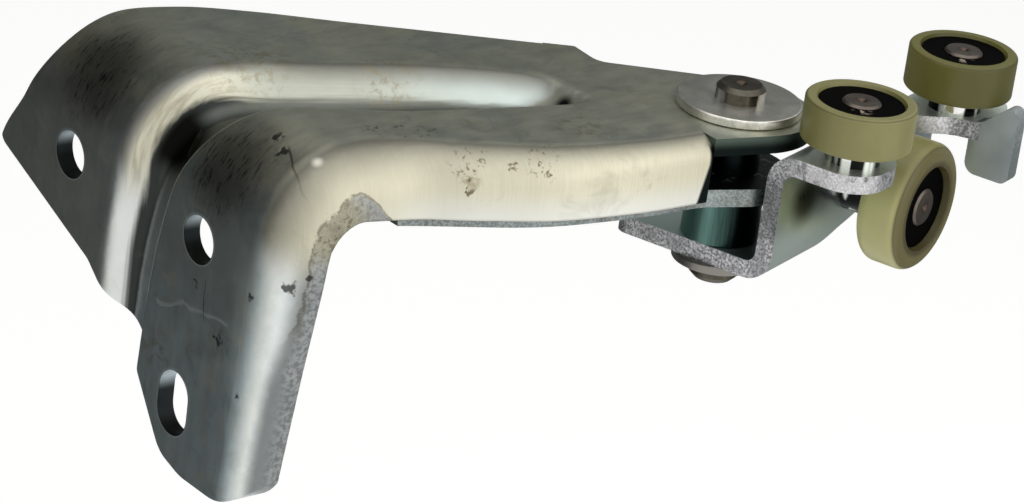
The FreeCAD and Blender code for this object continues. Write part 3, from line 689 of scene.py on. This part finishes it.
# %% Bolt holes and the end of the wall
BOLT_HOLES = [((0.030, 0.0), 0.0), ((-0.030, 0.0), 0.0), ((-0.026, -0.0485), 0.0025)]
HOLE_RADIUS = 0.0065
SLOT_DROP = 0.0475
HOLE_RIM_HIGHLIGHT = (0.85, 0.9, 0.9, 1)
HOLE_WALL_SHADE, HOLE_WALL_LIT = (0.025, 0.03, 0.03, 1), (0.46, 0.53, 0.56, 1)
WALL_END = 0.1150
END_SHADE_LOW, END_SHADE_TOP = (0.008, 0.012, 0.011, 1), (0.09, 0.12, 0.1, 1)


def bolt_gap(wire, y, z, centre, half_slot):
    """Distance from the axis of a bolt hole, or from the middle line of the slot."""
    aside = y - centre[0]
    above = wire.maths("MAXIMUM", abs(z - centre[1]) - half_slot, 0.0)
    return (aside * aside + above * above) ** 0.5


def with_hole_walls(wire, at, colour):
    gaps = [bolt_gap(wire, at.y, at.z, centre, half) for centre, half in BOLT_HOLES]
    gap = wire.maths("MINIMUM", wire.maths("MINIMUM", gaps[0], gaps[1]), gaps[2])
    flange = at.x.fade(0.0075, 0.0065)
    rim = gap.fade(HOLE_RADIUS + 0.0009, HOLE_RADIUS + 0.0003) * flange
    wall = gap.fade(HOLE_RADIUS + 0.0003, HOLE_RADIUS + 0.0001) * flange
    # painted light and shade: hole walls pale above, black below; painted highlight on the rim
    above = (at.z + at.z.fade(-0.020, -0.030) * SLOT_DROP).fade(-0.0005, 0.0045)
    colour = (rim * 0.5).tint(colour, HOLE_RIM_HIGHLIGHT)
    return wall.tint(colour, above.tint(HOLE_WALL_SHADE, HOLE_WALL_LIT))


def with_shaded_wall_end(wire, at, colour):
    sideways = abs(at.to_z).fade(0.75, 0.5)
    lean = wire.maths("MINIMUM", (at.z - 0.0155) * 0.24, 0.0026)
    # painted shade: the cut end of the wall at the eye, greenish grey at the top and black below
    end = (at.x - WALL_END - lean).fade(-0.0004, 0.0006) * sideways * at.y.fade(-0.072, -0.084)
    return end.tint(colour, at.z.fade(0.0300, 0.0335).tint(END_SHADE_LOW, END_SHADE_TOP))


print("holes in the flange:", len(BOLT_HOLES))

# %% [markdown]
# Three thin lines remain: a bright scribed line across the flange, a dark crease beside it, and a
# long scratch at the front bend. Each is the distance to a straight line, with a little wander.

# %% Scribed line, crease and scratch
SCRIBE_START = (-0.0147, -0.0231)
SCRIBE_SLOPE = -0.215
CREASE_PLACE = -0.0352
SCRATCH_MIDDLE = Vector((0.0096, -0.0547, 0.0273))
SCRATCH_SIDE = Vector((-0.699, 0.504, -0.507))
SCRIBE_BRIGHT = (0.85, 0.9, 0.88, 1)
CREASE_DARK, SCRATCH_DARK = (0.08, 0.09, 0.085, 1), (0.06, 0.055, 0.045, 1)


def thin_lines(wire, places, at):
    """Masks of the scribed line, of the crease and of the scratch."""
    wander = wire.noise(places, 90, 2, 0.5) - 0.5
    on_face = at.x.fade(0.002, 0.001)
    line = SCRIBE_START[1] + (at.y - SCRIBE_START[0]) * SCRIBE_SLOPE + wander * 0.006
    scribe = abs(at.z - line).fade(0.0009, 0.0)
    scribe = scribe * at.y.fade(-0.0465, -0.0445) * at.y.fade(-0.0135, -0.0150) * on_face
    crease = abs(at.y - CREASE_PLACE + wander * 0.006).fade(0.0004, 0.0)
    crease = crease * at.z.fade(-0.008, -0.010) * at.z.fade(-0.0215, -0.0190) * on_face
    aside = wire.vectors("DOT_PRODUCT", places, SCRATCH_SIDE, 1)
    aside = abs(aside - SCRATCH_MIDDLE.dot(SCRATCH_SIDE) + wander * 0.005)
    scratch = aside.fade(0.0004, 0.0001) * wire.near(places, SCRATCH_MIDDLE, 0.0075, 0.004)
    return scribe, crease, scratch * at.y.fade(-0.064, -0.05)


print("scribed line starts at", SCRIBE_START)

# %% [markdown]
# The finish of the pressing lays these over each other, from the clean zinc to the last scratch.
# Bump and roughness use the same masks, so a chip is hollow and a torn edge is dull.

# %% Finish of the pressing
FILM_TONE = (0.34, 0.32, 0.24, 1)


def arm_finish():
    material, wire, places = new_finish("arm_zinc")
    at = pressing_regions(wire, places)
    fine = wire.noise(places, 1100, 2, 0.5)
    grain = wire.noise(places, 800, 3, 0.65)
    blot = wire.noise(places, 330, 5, 0.75, 0.4)
    film = wire.noise(places, 52, 5, 0.7, 0.8).fade(0.58, 0.74)
    colour = with_stains(wire, places, at, pressing_tone(wire, places, at), blot)
    colour = (film * 0.3).tint(colour, FILM_TONE)
    colour, torn = with_torn_edge(wire, places, at, colour, blot, grain)
    colour, hollow = with_chips(wire, places, colour)
    colour = with_shaded_wall_end(wire, at, with_hole_walls(wire, at, colour))
    scribe, crease, scratch = thin_lines(wire, places, at)
    colour = (scribe * 0.5).tint(colour, SCRIBE_BRIGHT)
    colour = (crease * 0.8).tint(colour, CREASE_DARK)
    colour = (scratch * 0.75).tint(colour, SCRATCH_DARK)
    height = fine * 0.2 + at.mottle * 0.5 + torn * grain * 1.2
    height = height - hollow * 2.0 + scribe * 2.5 - crease
    low_round = at.y.fade(-0.044, -0.054) * (1 - at.upper)
    rough = 0.4 + at.front * 0.1 + torn * 0.1 + low_round * 0.16
    rough = rough + (at.mottle - 0.5) * 0.16 + film * 0.06
    close_metal(wire, colour, rough, raised(wire, height, strength=0.12, distance=0.0004))
    return material


arm_zinc = arm_finish()
print("nodes in the arm's finish:", len(arm_zinc.node_tree.nodes))

# %% [markdown]
# ## Carriage plate
# The carriage is cut from thick plate and bent. Its faces are smooth zinc, and its cut edges are
# coarse and sparkling, so the two need different finishes on one piece. The edges are rounded with
# a bevel on a merged copy of the packed piece, and a number on each face says whether it was cut.

# %% Round the edges of the carriage plate
BEVEL = 0.0006
MERGE_GAP = 1e-6
FLAT_ANGLE = math.radians(0.5)
SHARP_ANGLE = math.radians(40)
EAR_REACH, EAR_ALONG = 0.0428, 0.0542
TAB_BOTTOM, TAB_TOP, TAB_END = 0.0239, 0.0291, 0.0461
WEB_OUTSIDE, BOTTOM_EDGE = 0.0235, -0.0265


def is_cut(face):
    """True for a face left by the blanking tool rather than by the rolled sheet."""
    normal = face.normal
    spot = face.calc_center_median() - PIVOT
    reach, along, height = spot.dot(REACH), spot.dot(ALONG), spot.z
    outwards, onwards = abs(normal.dot(REACH)), normal.dot(ALONG)
    past_tab = height > TAB_TOP or height < TAB_BOTTOM or reach > TAB_END
    if reach > EAR_REACH and along > EAR_ALONG and past_tab:
        return abs(onwards) < 0.7
    if abs(onwards) > 0.5 or (normal.z < -0.3 and onwards > 0.1):
        return True
    edge_of_plate = reach > WEB_OUTSIDE or (reach < BOTTOM_EDGE and outwards > 0.7)
    return abs(normal.z) < 0.3 and edge_of_plate


def softened(node, name, body, was_cut):
    """Merged copy of a packed piece with its sharp edges rounded, standing in for it."""
    work = bmesh.new()
    work.from_mesh(nodes[node].data)
    bmesh.ops.remove_doubles(work, verts=work.verts, dist=MERGE_GAP)
    bmesh.ops.dissolve_limit(work, angle_limit=FLAT_ANGLE, verts=work.verts, edges=work.edges)
    layer = work.faces.layers.float.new("cut_edge")
    for face in work.faces:
        face[layer] = 1.0 if was_cut(face) else 0.0
    whole = [edge for edge in work.edges if edge.is_manifold]
    sharp = [edge for edge in whole if edge.calc_face_angle() > SHARP_ANGLE]
    bmesh.ops.bevel(
        work, geom=sharp, offset=BEVEL, offset_type="OFFSET", segments=2, profile=0.5,
        affect="EDGES", clamp_overlap=True, material=-1,
    )
    mesh = bpy.data.meshes.new(name)
    work.to_mesh(mesh)
    work.free()
    mesh.shade_smooth()
    piece = bpy.data.objects.new(name, mesh)
    scene.collection.objects.link(piece)
    even = piece.modifiers.new("even_normals", "WEIGHTED_NORMAL")
    even.keep_sharp = True
    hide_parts(node)
    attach(piece, body)
    print(name, len(mesh.polygons), "faces,", len(sharp), "edges rounded")
    return piece


carriage_plate = softened(
    "carriage_bracket", "carriage_plate", "carriage", is_cut
)

# %% [markdown]
# The finish reads that number as an attribute. The rolled faces are calm and greenish: chalky, and
# painted pale as lit, on top and low on the web, cooler on the stop ear, and on the bottom plate
# painted pale towards the arm and dark as shade towards the rail. A second piece for them would
# leave a seam, so one material blends faces and edges.

# %% Rolled faces of the carriage
FACE_DULL, FACE_BRIGHT = (0.4, 0.475, 0.465, 1), (0.5, 0.575, 0.56, 1)
TAB_TOP_LIT = (0.9, 0.98, 0.9, 1)
EAR_DULL, EAR_BRIGHT = (0.4, 0.45, 0.46, 1), (0.5, 0.555, 0.565, 1)
BOTTOM_LIT, BOTTOM_SHADE = (0.72, 0.86, 0.82, 1), (0.05, 0.08, 0.074, 1)
WEB_LOW_LIT, WEB_OLIVE = (0.76, 0.86, 0.8, 1), (0.04, 0.045, 0.015, 1)
FLECK_GREY = (0.14, 0.15, 0.14, 1)
WEB_SHADE = [((0.1512, -0.0953, 0.0125), 0.0020, 0.0085)]


def carriage_regions(wire, places):
    """Where a point of the carriage is, the way it looks, and the masks that its tones share."""
    facing = facing_of(wire)
    height = split(wire, places)[2]
    along = measured(wire, places, ALONG)
    outer_side = looks_outwards(wire, facing).fade(0.5, 0.9)
    return SimpleNamespace(
        reach=measured(wire, places, REACH), along=along, height=height,
        upwards=split(wire, facing)[2].fade(0.6, 0.9),
        ear=along.fade(0.05, 0.053),
        bottom=height.fade(0.004, -0.002),
        web_low=outer_side * height.fade(0.012, 0.001) * along.fade(0.05, 0.045),
        flecks=wire.noise(places, 500, 3, 0.6).fade(0.68, 0.76) * along.fade(0.05, 0.04),
        cloud=clouds(wire, places, 40).fade(0.36, 0.66),
        mottle=mottling(wire, places, 170),
        grain=wire.noise(places, 1500, 2, 0.6),
    )


def rolled_tone(wire, places, at):
    face = at.cloud.tint(FACE_DULL, FACE_BRIGHT)
    # painted light: faces of the tabs that look up are painted pale
    face = (at.upwards * at.height.fade(0.02, 0.026)).tint(face, TAB_TOP_LIT)
    face = (at.ear * (1 - at.upwards)).tint(face, at.cloud.tint(EAR_DULL, EAR_BRIGHT))
    # painted light and shade on the bottom plate: pale towards the arm, dark towards the rail
    bottom_shading = at.reach.fade(-0.012, 0.014).tint(BOTTOM_LIT, BOTTOM_SHADE)
    face = at.bottom.tint(face, bottom_shading)
    # painted light: the low part of the web's outer face is painted pale
    face = at.web_low.tint(face, WEB_LOW_LIT)
    face = (patches(wire, places, WEB_SHADE) * 0.92).tint(face, WEB_OLIVE)
    return (at.flecks * 0.4).tint(face, FLECK_GREY)


print("rolled faces between", FACE_DULL[:3], "and", FACE_BRIGHT[:3])

# %% [markdown]
# The cut faces are a salt-and-pepper of dark pores and bright crystal faces, about half a
# millimetre across. Grime sits in the front tab's edge, and the ear's edge is worn calm.

# %% Finish of the carriage
PORE_DARK, CRYSTAL_BRIGHT = (0.22, 0.22, 0.23, 1), (0.78, 0.775, 0.8, 1)
CUT_GREY, CUT_SHADED = (0.24, 0.25, 0.25, 1), (0.07, 0.075, 0.075, 1)
CUT_END_SHEEN, CUT_GRIME = (0.9, 0.89, 0.9, 1), (0.09, 0.09, 0.085, 1)
EAR_EDGE_DULL, EAR_EDGE_BRIGHT = (0.27, 0.31, 0.31, 1), (0.36, 0.4, 0.4, 1)


def cut_tone(wire, places, at):
    shaded = at.height.fade(0.027, 0.019) * at.height.fade(0.0, 0.01)
    tab_end_sheen = at.reach.fade(0.022, 0.03) * at.along.fade(0.054, 0.050)
    grime = wire.noise(places, 330, 4, 0.7, 0.5).fade(0.52, 0.66) * at.reach.fade(0.016, 0.024)
    ear_edge = at.along.fade(0.0535, 0.055) * at.reach.fade(0.042, 0.044)
    edge = at.grain.fade(0.34, 0.66).tint(PORE_DARK, CRYSTAL_BRIGHT)
    edge = (at.mottle.fade(0.42, 0.62) * 0.5).tint(edge, CUT_GREY)
    edge = (shaded * 0.6).tint(edge, CUT_SHADED)
    # painted sheen: the outer ends of the tabs' cut edges are painted whiter
    edge = (tab_end_sheen * 0.4).tint(edge, CUT_END_SHEEN)
    edge = (grime * at.along.fade(0.05, 0.04) * 0.75).tint(edge, CUT_GRIME)
    return (ear_edge * 0.75).tint(edge, at.cloud.tint(EAR_EDGE_DULL, EAR_EDGE_BRIGHT))


def carriage_finish():
    material, wire, places = new_finish("carriage_zinc")
    at = carriage_regions(wire, places)
    cut = wire.node("Attribute", {"attribute_name": "cut_edge"}, {}, "Fac")
    rolled = 1 - cut
    colour = cut.tint(rolled_tone(wire, places, at), cut_tone(wire, places, at))
    chalky = at.web_low * rolled * 0.24 + at.upwards * rolled * (0.26 + at.bottom * 0.2)
    chalky = chalky + at.ear * rolled * 0.06
    rough = 0.3 + cut * 0.2 + (at.mottle - 0.5) * 0.14 + at.ear * 0.2
    height = at.mottle * 0.3 + cut * at.grain * 1.6 - at.flecks * 0.4
    bump = raised(wire, height, strength=0.16, distance=0.0004)
    close_metal(wire, colour, rough, bump, 1 - chalky)
    return material


carriage_zinc = carriage_finish()
print("nodes in the carriage's finish:", len(carriage_zinc.node_tree.nodes))

# %% [markdown]
# ## Pivot and axles
# The lower plate, washers and bearing rings are plain steel with cloud, mottle and a brown film.
# One function makes all of them, because they differ only in tone, gloss and how much film and
# grain they carry, and how much painted shade lies on them.

# %% Plain steel
FILM_BROWN = (0.13, 0.105, 0.06, 1)
GRAIN_PALE = (0.75, 0.77, 0.76, 1)
TOP_SHADE_BLACK, TOP_SHADE_GLINTS = (0.012, 0.016, 0.015, 1), (0.3, 0.33, 0.32, 1)


def steel(name, pale, deep, rough, grime=0.0, low_shade=None, grain=0.0, top_shade=0.0):
    """Plain steel. grime and grain are the shares of brown film and of pale grain, and the last
    share is black painted shade, with painted glints, on what looks up; the low tone is painted
    shade below the carriage."""
    material, wire, places = new_finish(name)
    cloud = clouds(wire, places, 60).fade(0.36, 0.66)
    mottle = mottling(wire, places, 260)
    fine = wire.noise(places, 1400, 2, 0.6)
    film = mottle.fade(0.46, 0.66)
    colour = cloud.tint((*deep, 1), (*pale, 1))
    colour = (film * grime).tint(colour, FILM_BROWN)
    colour = (fine.fade(0.4, 0.62) * grain).tint(colour, GRAIN_PALE)
    # painted shade with painted glints on the faces that look up
    if top_shade:
        upwards = split(wire, facing_of(wire))[2].fade(0.5, 0.9)
        top_shade_tone = mottle.fade(0.6, 0.72).tint(TOP_SHADE_BLACK, TOP_SHADE_GLINTS)
        colour = (upwards * top_shade).tint(colour, top_shade_tone)
    # painted shade below the carriage
    if low_shade:
        colour = split(wire, places)[2].fade(-0.002, -0.006).tint(colour, (*low_shade, 1))
    bump = raised(wire, fine * 0.4 + mottle * 0.6, strength=0.1, distance=0.0003)
    polish = rough + (mottle - 0.5) * rough * 0.5 + film * grime * 0.2
    close_metal(wire, colour, polish, bump)
    return material


plate_zinc = steel(
    "plate_zinc", (0.24, 0.28, 0.275), (0.14, 0.165, 0.16), 0.42, 0.25, grain=0.25, top_shade=0.95
)
washer_zinc = steel(
    "washer_zinc", (0.85, 0.84, 0.77), (0.6, 0.59, 0.53), 0.36, 0.3, (0.25, 0.235, 0.215)
)
bearing_steel = steel("bearing_steel", (0.6, 0.6, 0.6), (0.5, 0.5, 0.5), 0.18)
print("plain steels:", plate_zinc.name, washer_zinc.name, bearing_steel.name)

# %% [markdown]
# Pins and axles are turned bright, with upright bright and dark bars painted on as reflections;
# their formed heads are dull and brown in the middle. The painted reflection bars are noise drawn
# out along the axis, so they belong to the steel and turn with it, while the gloss comes from the
# shader.

# %% Turned steel
UP = Vector((0, 0, 1))
ROLLER_AXES = [
    (PIVOT + 0.0345 * REACH + 0.0026 * ALONG, UP),
    (PIVOT + 0.0345 * REACH + 0.0600 * ALONG, UP),
    (PIVOT + 0.0313 * ALONG + Vector((0, 0, 0.010)), REACH),
]
HEAD_MIDDLE = (0.075, 0.05, 0.035, 1)
HEAD_SHADE = 0.7


def axle_gap(wire, places, centre, axis):
    """Distance from the axis of a roller."""
    turned = wire.vectors("CROSS_PRODUCT", wire.vectors("SUBTRACT", places, centre), axis)
    return wire.node("VectorMath", {"operation": "LENGTH"}, {0: turned}, 1)


def turned_steel(name, bar_lit, bar_shade, spread, head_tone, is_head, axes):
    """Steel with upright bright and dark bars painted on as reflections; is_head masks its formed,
    dull end.
    """
    material, wire, places = new_finish(name)
    head = is_head(wire, places, facing_of(wire))
    fine = wire.noise(places, 1400, 2, 0.6)
    mottle = mottling(wire, places, 300)
    # painted reflections: upright bright and dark bars
    reflection_bars = wire.noise(drawn_out(wire, places, (spread, spread, 12)), 1.0, 1, 0.5)
    colour = reflection_bars.fade(0.48, 0.57).tint((*bar_shade, 1), (*bar_lit, 1))
    shaded = [HEAD_SHADE * part for part in head_tone]
    dull = mottle.fade(0.35, 0.65).tint((*shaded, 1), (*head_tone, 1))
    middle = largest(wire, [axle_gap(wire, places, *axis).fade(0.0027, 0.0012) for axis in axes])
    dull = (middle * 0.7).tint(dull, HEAD_MIDDLE)
    polish = head * 0.28 + 0.14 + (mottle - 0.5) * 0.1
    bump = raised(wire, fine, strength=0.06, distance=0.0003)
    close_metal(wire, head.tint(colour, dull), polish, bump)
    return material


def pin_head(wire, places, facing):
    """The pin's top and its bevel, and all of its tail."""
    upwards = split(wire, facing)[2].fade(0.3, 0.5)
    return wire.maths("MAXIMUM", upwards, split(wire, places)[2].fade(0.0, -0.004))


def axle_heads(wire, places, facing):
    """The formed ends of the axles, above the guide bearings and outside the load bearing."""
    upper = split(wire, places)[2].fade(0.0434, 0.0438)
    outer = measured(wire, places, REACH).fade(0.0424, 0.0428)
    return wire.maths("MAXIMUM", upper, outer)


pin_steel = turned_steel(
    "pin_steel", (0.8, 0.76, 0.73), (0.09, 0.08, 0.065), 260,
    (0.12, 0.108, 0.085), pin_head, [(PIVOT, UP)],
)
axle_steel = turned_steel(
    "axle_steel", (0.85, 0.84, 0.82), (0.012, 0.012, 0.012), 300,
    (0.165, 0.137, 0.117), axle_heads, ROLLER_AXES,
)
print("axes of the rollers:", len(ROLLER_AXES))

# %% [markdown]
# The hub and the bush are dark steel. Their tone is painted by the way they look: teal, as lit, on
# the side of the arm, and black, as painted shade, towards the rail and higher up under the eye.
# The change follows the part's own directions, broken by fine upright streaks.

# %% Hub and bush, with painted light and shade
HUB_SHADE_BLACK, HUB_LIT_TEAL = (0.008, 0.014, 0.013, 1), (0.14, 0.27, 0.235, 1)
HUB_TOP_SHADE = (0.006, 0.009, 0.009, 1)


def hub_finish():
    material, wire, places = new_finish("oiled_steel")
    streaks = wire.noise(drawn_out(wire, places, (900, 900, 60)), 1.0, 3, 0.6)
    outwards = looks_outwards(wire, facing_of(wire)) + (streaks - 0.5) * 0.45
    # painted light and shade by the way the steel looks
    colour = outwards.fade(0.86, -0.27).tint(HUB_SHADE_BLACK, HUB_LIT_TEAL)
    colour = split(wire, places)[2].fade(0.011, 0.015).tint(colour, HUB_TOP_SHADE)
    bump = raised(wire, streaks, strength=0.1, distance=0.0003)
    close_metal(wire, colour, 0.34 + (streaks - 0.5) * 0.2, bump)
    return material


oiled_steel = hub_finish()
print("oiled steel from", HUB_SHADE_BLACK[:3], "to", HUB_LIT_TEAL[:3])

# %% [markdown]
# ## Tyres and seals
# The tyres are moulded in a translucent olive polymer. Light that enters the tyre comes out again
# close by, so it gets a little subsurface, which renders faster than a clear volume. The rear tyre
# is the darkest. The guide tyres are painted lighter on one side and darker on the other, as
# painted light and shade; the load tyre's face and bore are painted browner and darker than its
# tread as shade, and the rounded rims are painted dark as shade.

# %% Tyre finish
FRONT_SHADE, FRONT_LIT = (0.15, 0.143, 0.045, 1), (0.32, 0.305, 0.125, 1)
REAR_LIT, REAR_SHADE = (0.15, 0.142, 0.03, 1), (0.11, 0.104, 0.022, 1)
TREAD_DULL, TREAD_BRIGHT = (0.56, 0.545, 0.24, 1), (0.62, 0.6, 0.29, 1)
TREAD_TOP, LOAD_FACE_SHADE = (0.3, 0.28, 0.11, 1), (0.17, 0.148, 0.055, 1)
LOAD_BORE_SHADE = (0.08, 0.066, 0.022, 1)
OLIVE_CLOUD, RIM_SHADE = (0.16, 0.15, 0.06, 1), (0.06, 0.055, 0.02, 1)


def load_tone(wire, places, height, outwards, cloud):
    tone = cloud.tint(TREAD_DULL, TREAD_BRIGHT)
    tone = height.fade(0.012, 0.026).tint(tone, TREAD_TOP)
    # painted shade: the load tyre's face is browner and its bore darker
    tone = outwards.fade(0.4, 0.85).tint(tone, LOAD_FACE_SHADE)
    bore_shade = axle_gap(wire, places, *ROLLER_AXES[2]).fade(0.0142, 0.0128)
    return bore_shade.tint(tone, LOAD_BORE_SHADE)


def tyre_finish():
    material, wire, places = new_finish("tyre_polymer")
    facing = facing_of(wire)
    height, upwards = split(wire, places)[2], split(wire, facing)[2]
    outwards = looks_outwards(wire, facing)
    guide = height.fade(0.0325, 0.0335)
    rear = guide * measured(wire, places, ALONG).fade(0.03, 0.04)
    cloud = clouds(wire, places, 70).fade(0.3, 0.7)
    fine = wire.noise(places, 800, 3, 0.6)
    # painted light and shade: each guide tyre lighter on one side, darker on the other
    front_tone = outwards.fade(-0.83, 0.54).tint(FRONT_SHADE, FRONT_LIT)
    rear_tone = outwards.fade(0.05, 0.93).tint(REAR_LIT, REAR_SHADE)
    colour = guide.tint(load_tone(wire, places, height, outwards, cloud), front_tone)
    colour = rear.tint(colour, rear_tone)
    colour = (cloud * 0.2).tint(colour, OLIVE_CLOUD)
    # painted shade on the rounded rims
    top_rim_shade = guide * upwards.fade(0.3, 0.55) * upwards.fade(0.92, 0.75)
    side_rim_shade = (1 - guide) * outwards.fade(0.6, 0.68) * outwards.fade(0.8, 0.72)
    colour = (largest(wire, [top_rim_shade, side_rim_shade]) * 0.55).tint(colour, RIM_SHADE)
    close_finish(wire, {
        "Base Color": colour, "Roughness": 0.34 + (fine - 0.5) * 0.2,
        "Normal": raised(wire, fine, strength=0.06, distance=0.0003),
        "Subsurface Weight": 0.2, "Subsurface Radius": (1.0, 0.85, 0.4),
        "Subsurface Scale": 0.002, "Specular IOR Level": 0.35,
    })
    return material


tyre_polymer = tyre_finish()
print("nodes in the tyres' finish:", len(tyre_polymer.node_tree.nodes))

# %% [markdown]
# The bearing seals are black rubber with hardly any gloss. Beside the axle heads a few broken
# flecks are painted pale as glints, which are patches cut up by noise.

# %% Seal finish
RUBBER_DEEP, RUBBER_PALE = (0.0006, 0.0005, 0.0005, 1), (0.002, 0.0015, 0.0016, 1)
GLINT_TONE = (0.45, 0.38, 0.3, 1)
GLINT_OFFSET = Vector((-0.0042, -0.0047, 0.0435))


def rubber_finish():
    material, wire, places = new_finish("seal_rubber")
    fine = wire.noise(places, 900, 3, 0.6)
    spots = [(tuple(centre + GLINT_OFFSET), 0.0012, 0.0024) for centre, _ in ROLLER_AXES[:2]]
    # painted glints beside the axle heads
    glints = patches(wire, places, spots) * wire.noise(places, 700, 2, 0.5).fade(0.5, 0.6)
    colour = fine.fade(0.35, 0.7).tint(RUBBER_DEEP, RUBBER_PALE)
    colour = (glints * 0.9).tint(colour, GLINT_TONE)
    close_finish(wire, {
        "Base Color": colour, "Roughness": 0.6 + (fine - 0.5) * 0.3,
        "Normal": raised(wire, fine, strength=0.12, distance=0.0002),
        "Specular IOR Level": 0.02,
    })
    return material


seal_rubber = rubber_finish()
print("nodes in the seals' finish:", len(seal_rubber.node_tree.nodes))

# %% [markdown]
# ## Finishes on the pieces
# Every piece of the frame takes the finish that the record's slot names for it, and a piece that
# stands in for one takes the same.

# %% Assign the finishes
FINISHES = {
    "arm_zinc": arm_zinc, "plate_zinc": plate_zinc, "carriage_zinc": carriage_zinc,
    "washer_zinc": washer_zinc, "oiled_steel": oiled_steel, "pin_steel": pin_steel,
    "axle_steel": axle_steel, "bearing_steel": bearing_steel, "seal_rubber": seal_rubber,
    "tyre_polymer": tyre_polymer,
}
for part in frame["record"]["subparts"]:
    piece = nodes[part["node"]]
    piece.data.materials.clear()
    piece.data.materials.append(FINISHES[part["material_slot"]])
carriage_plate.data.materials.append(carriage_zinc)
print("finishes:", len(FINISHES))

# %% [markdown]
# ## End

# %% End
print("end of the scene")
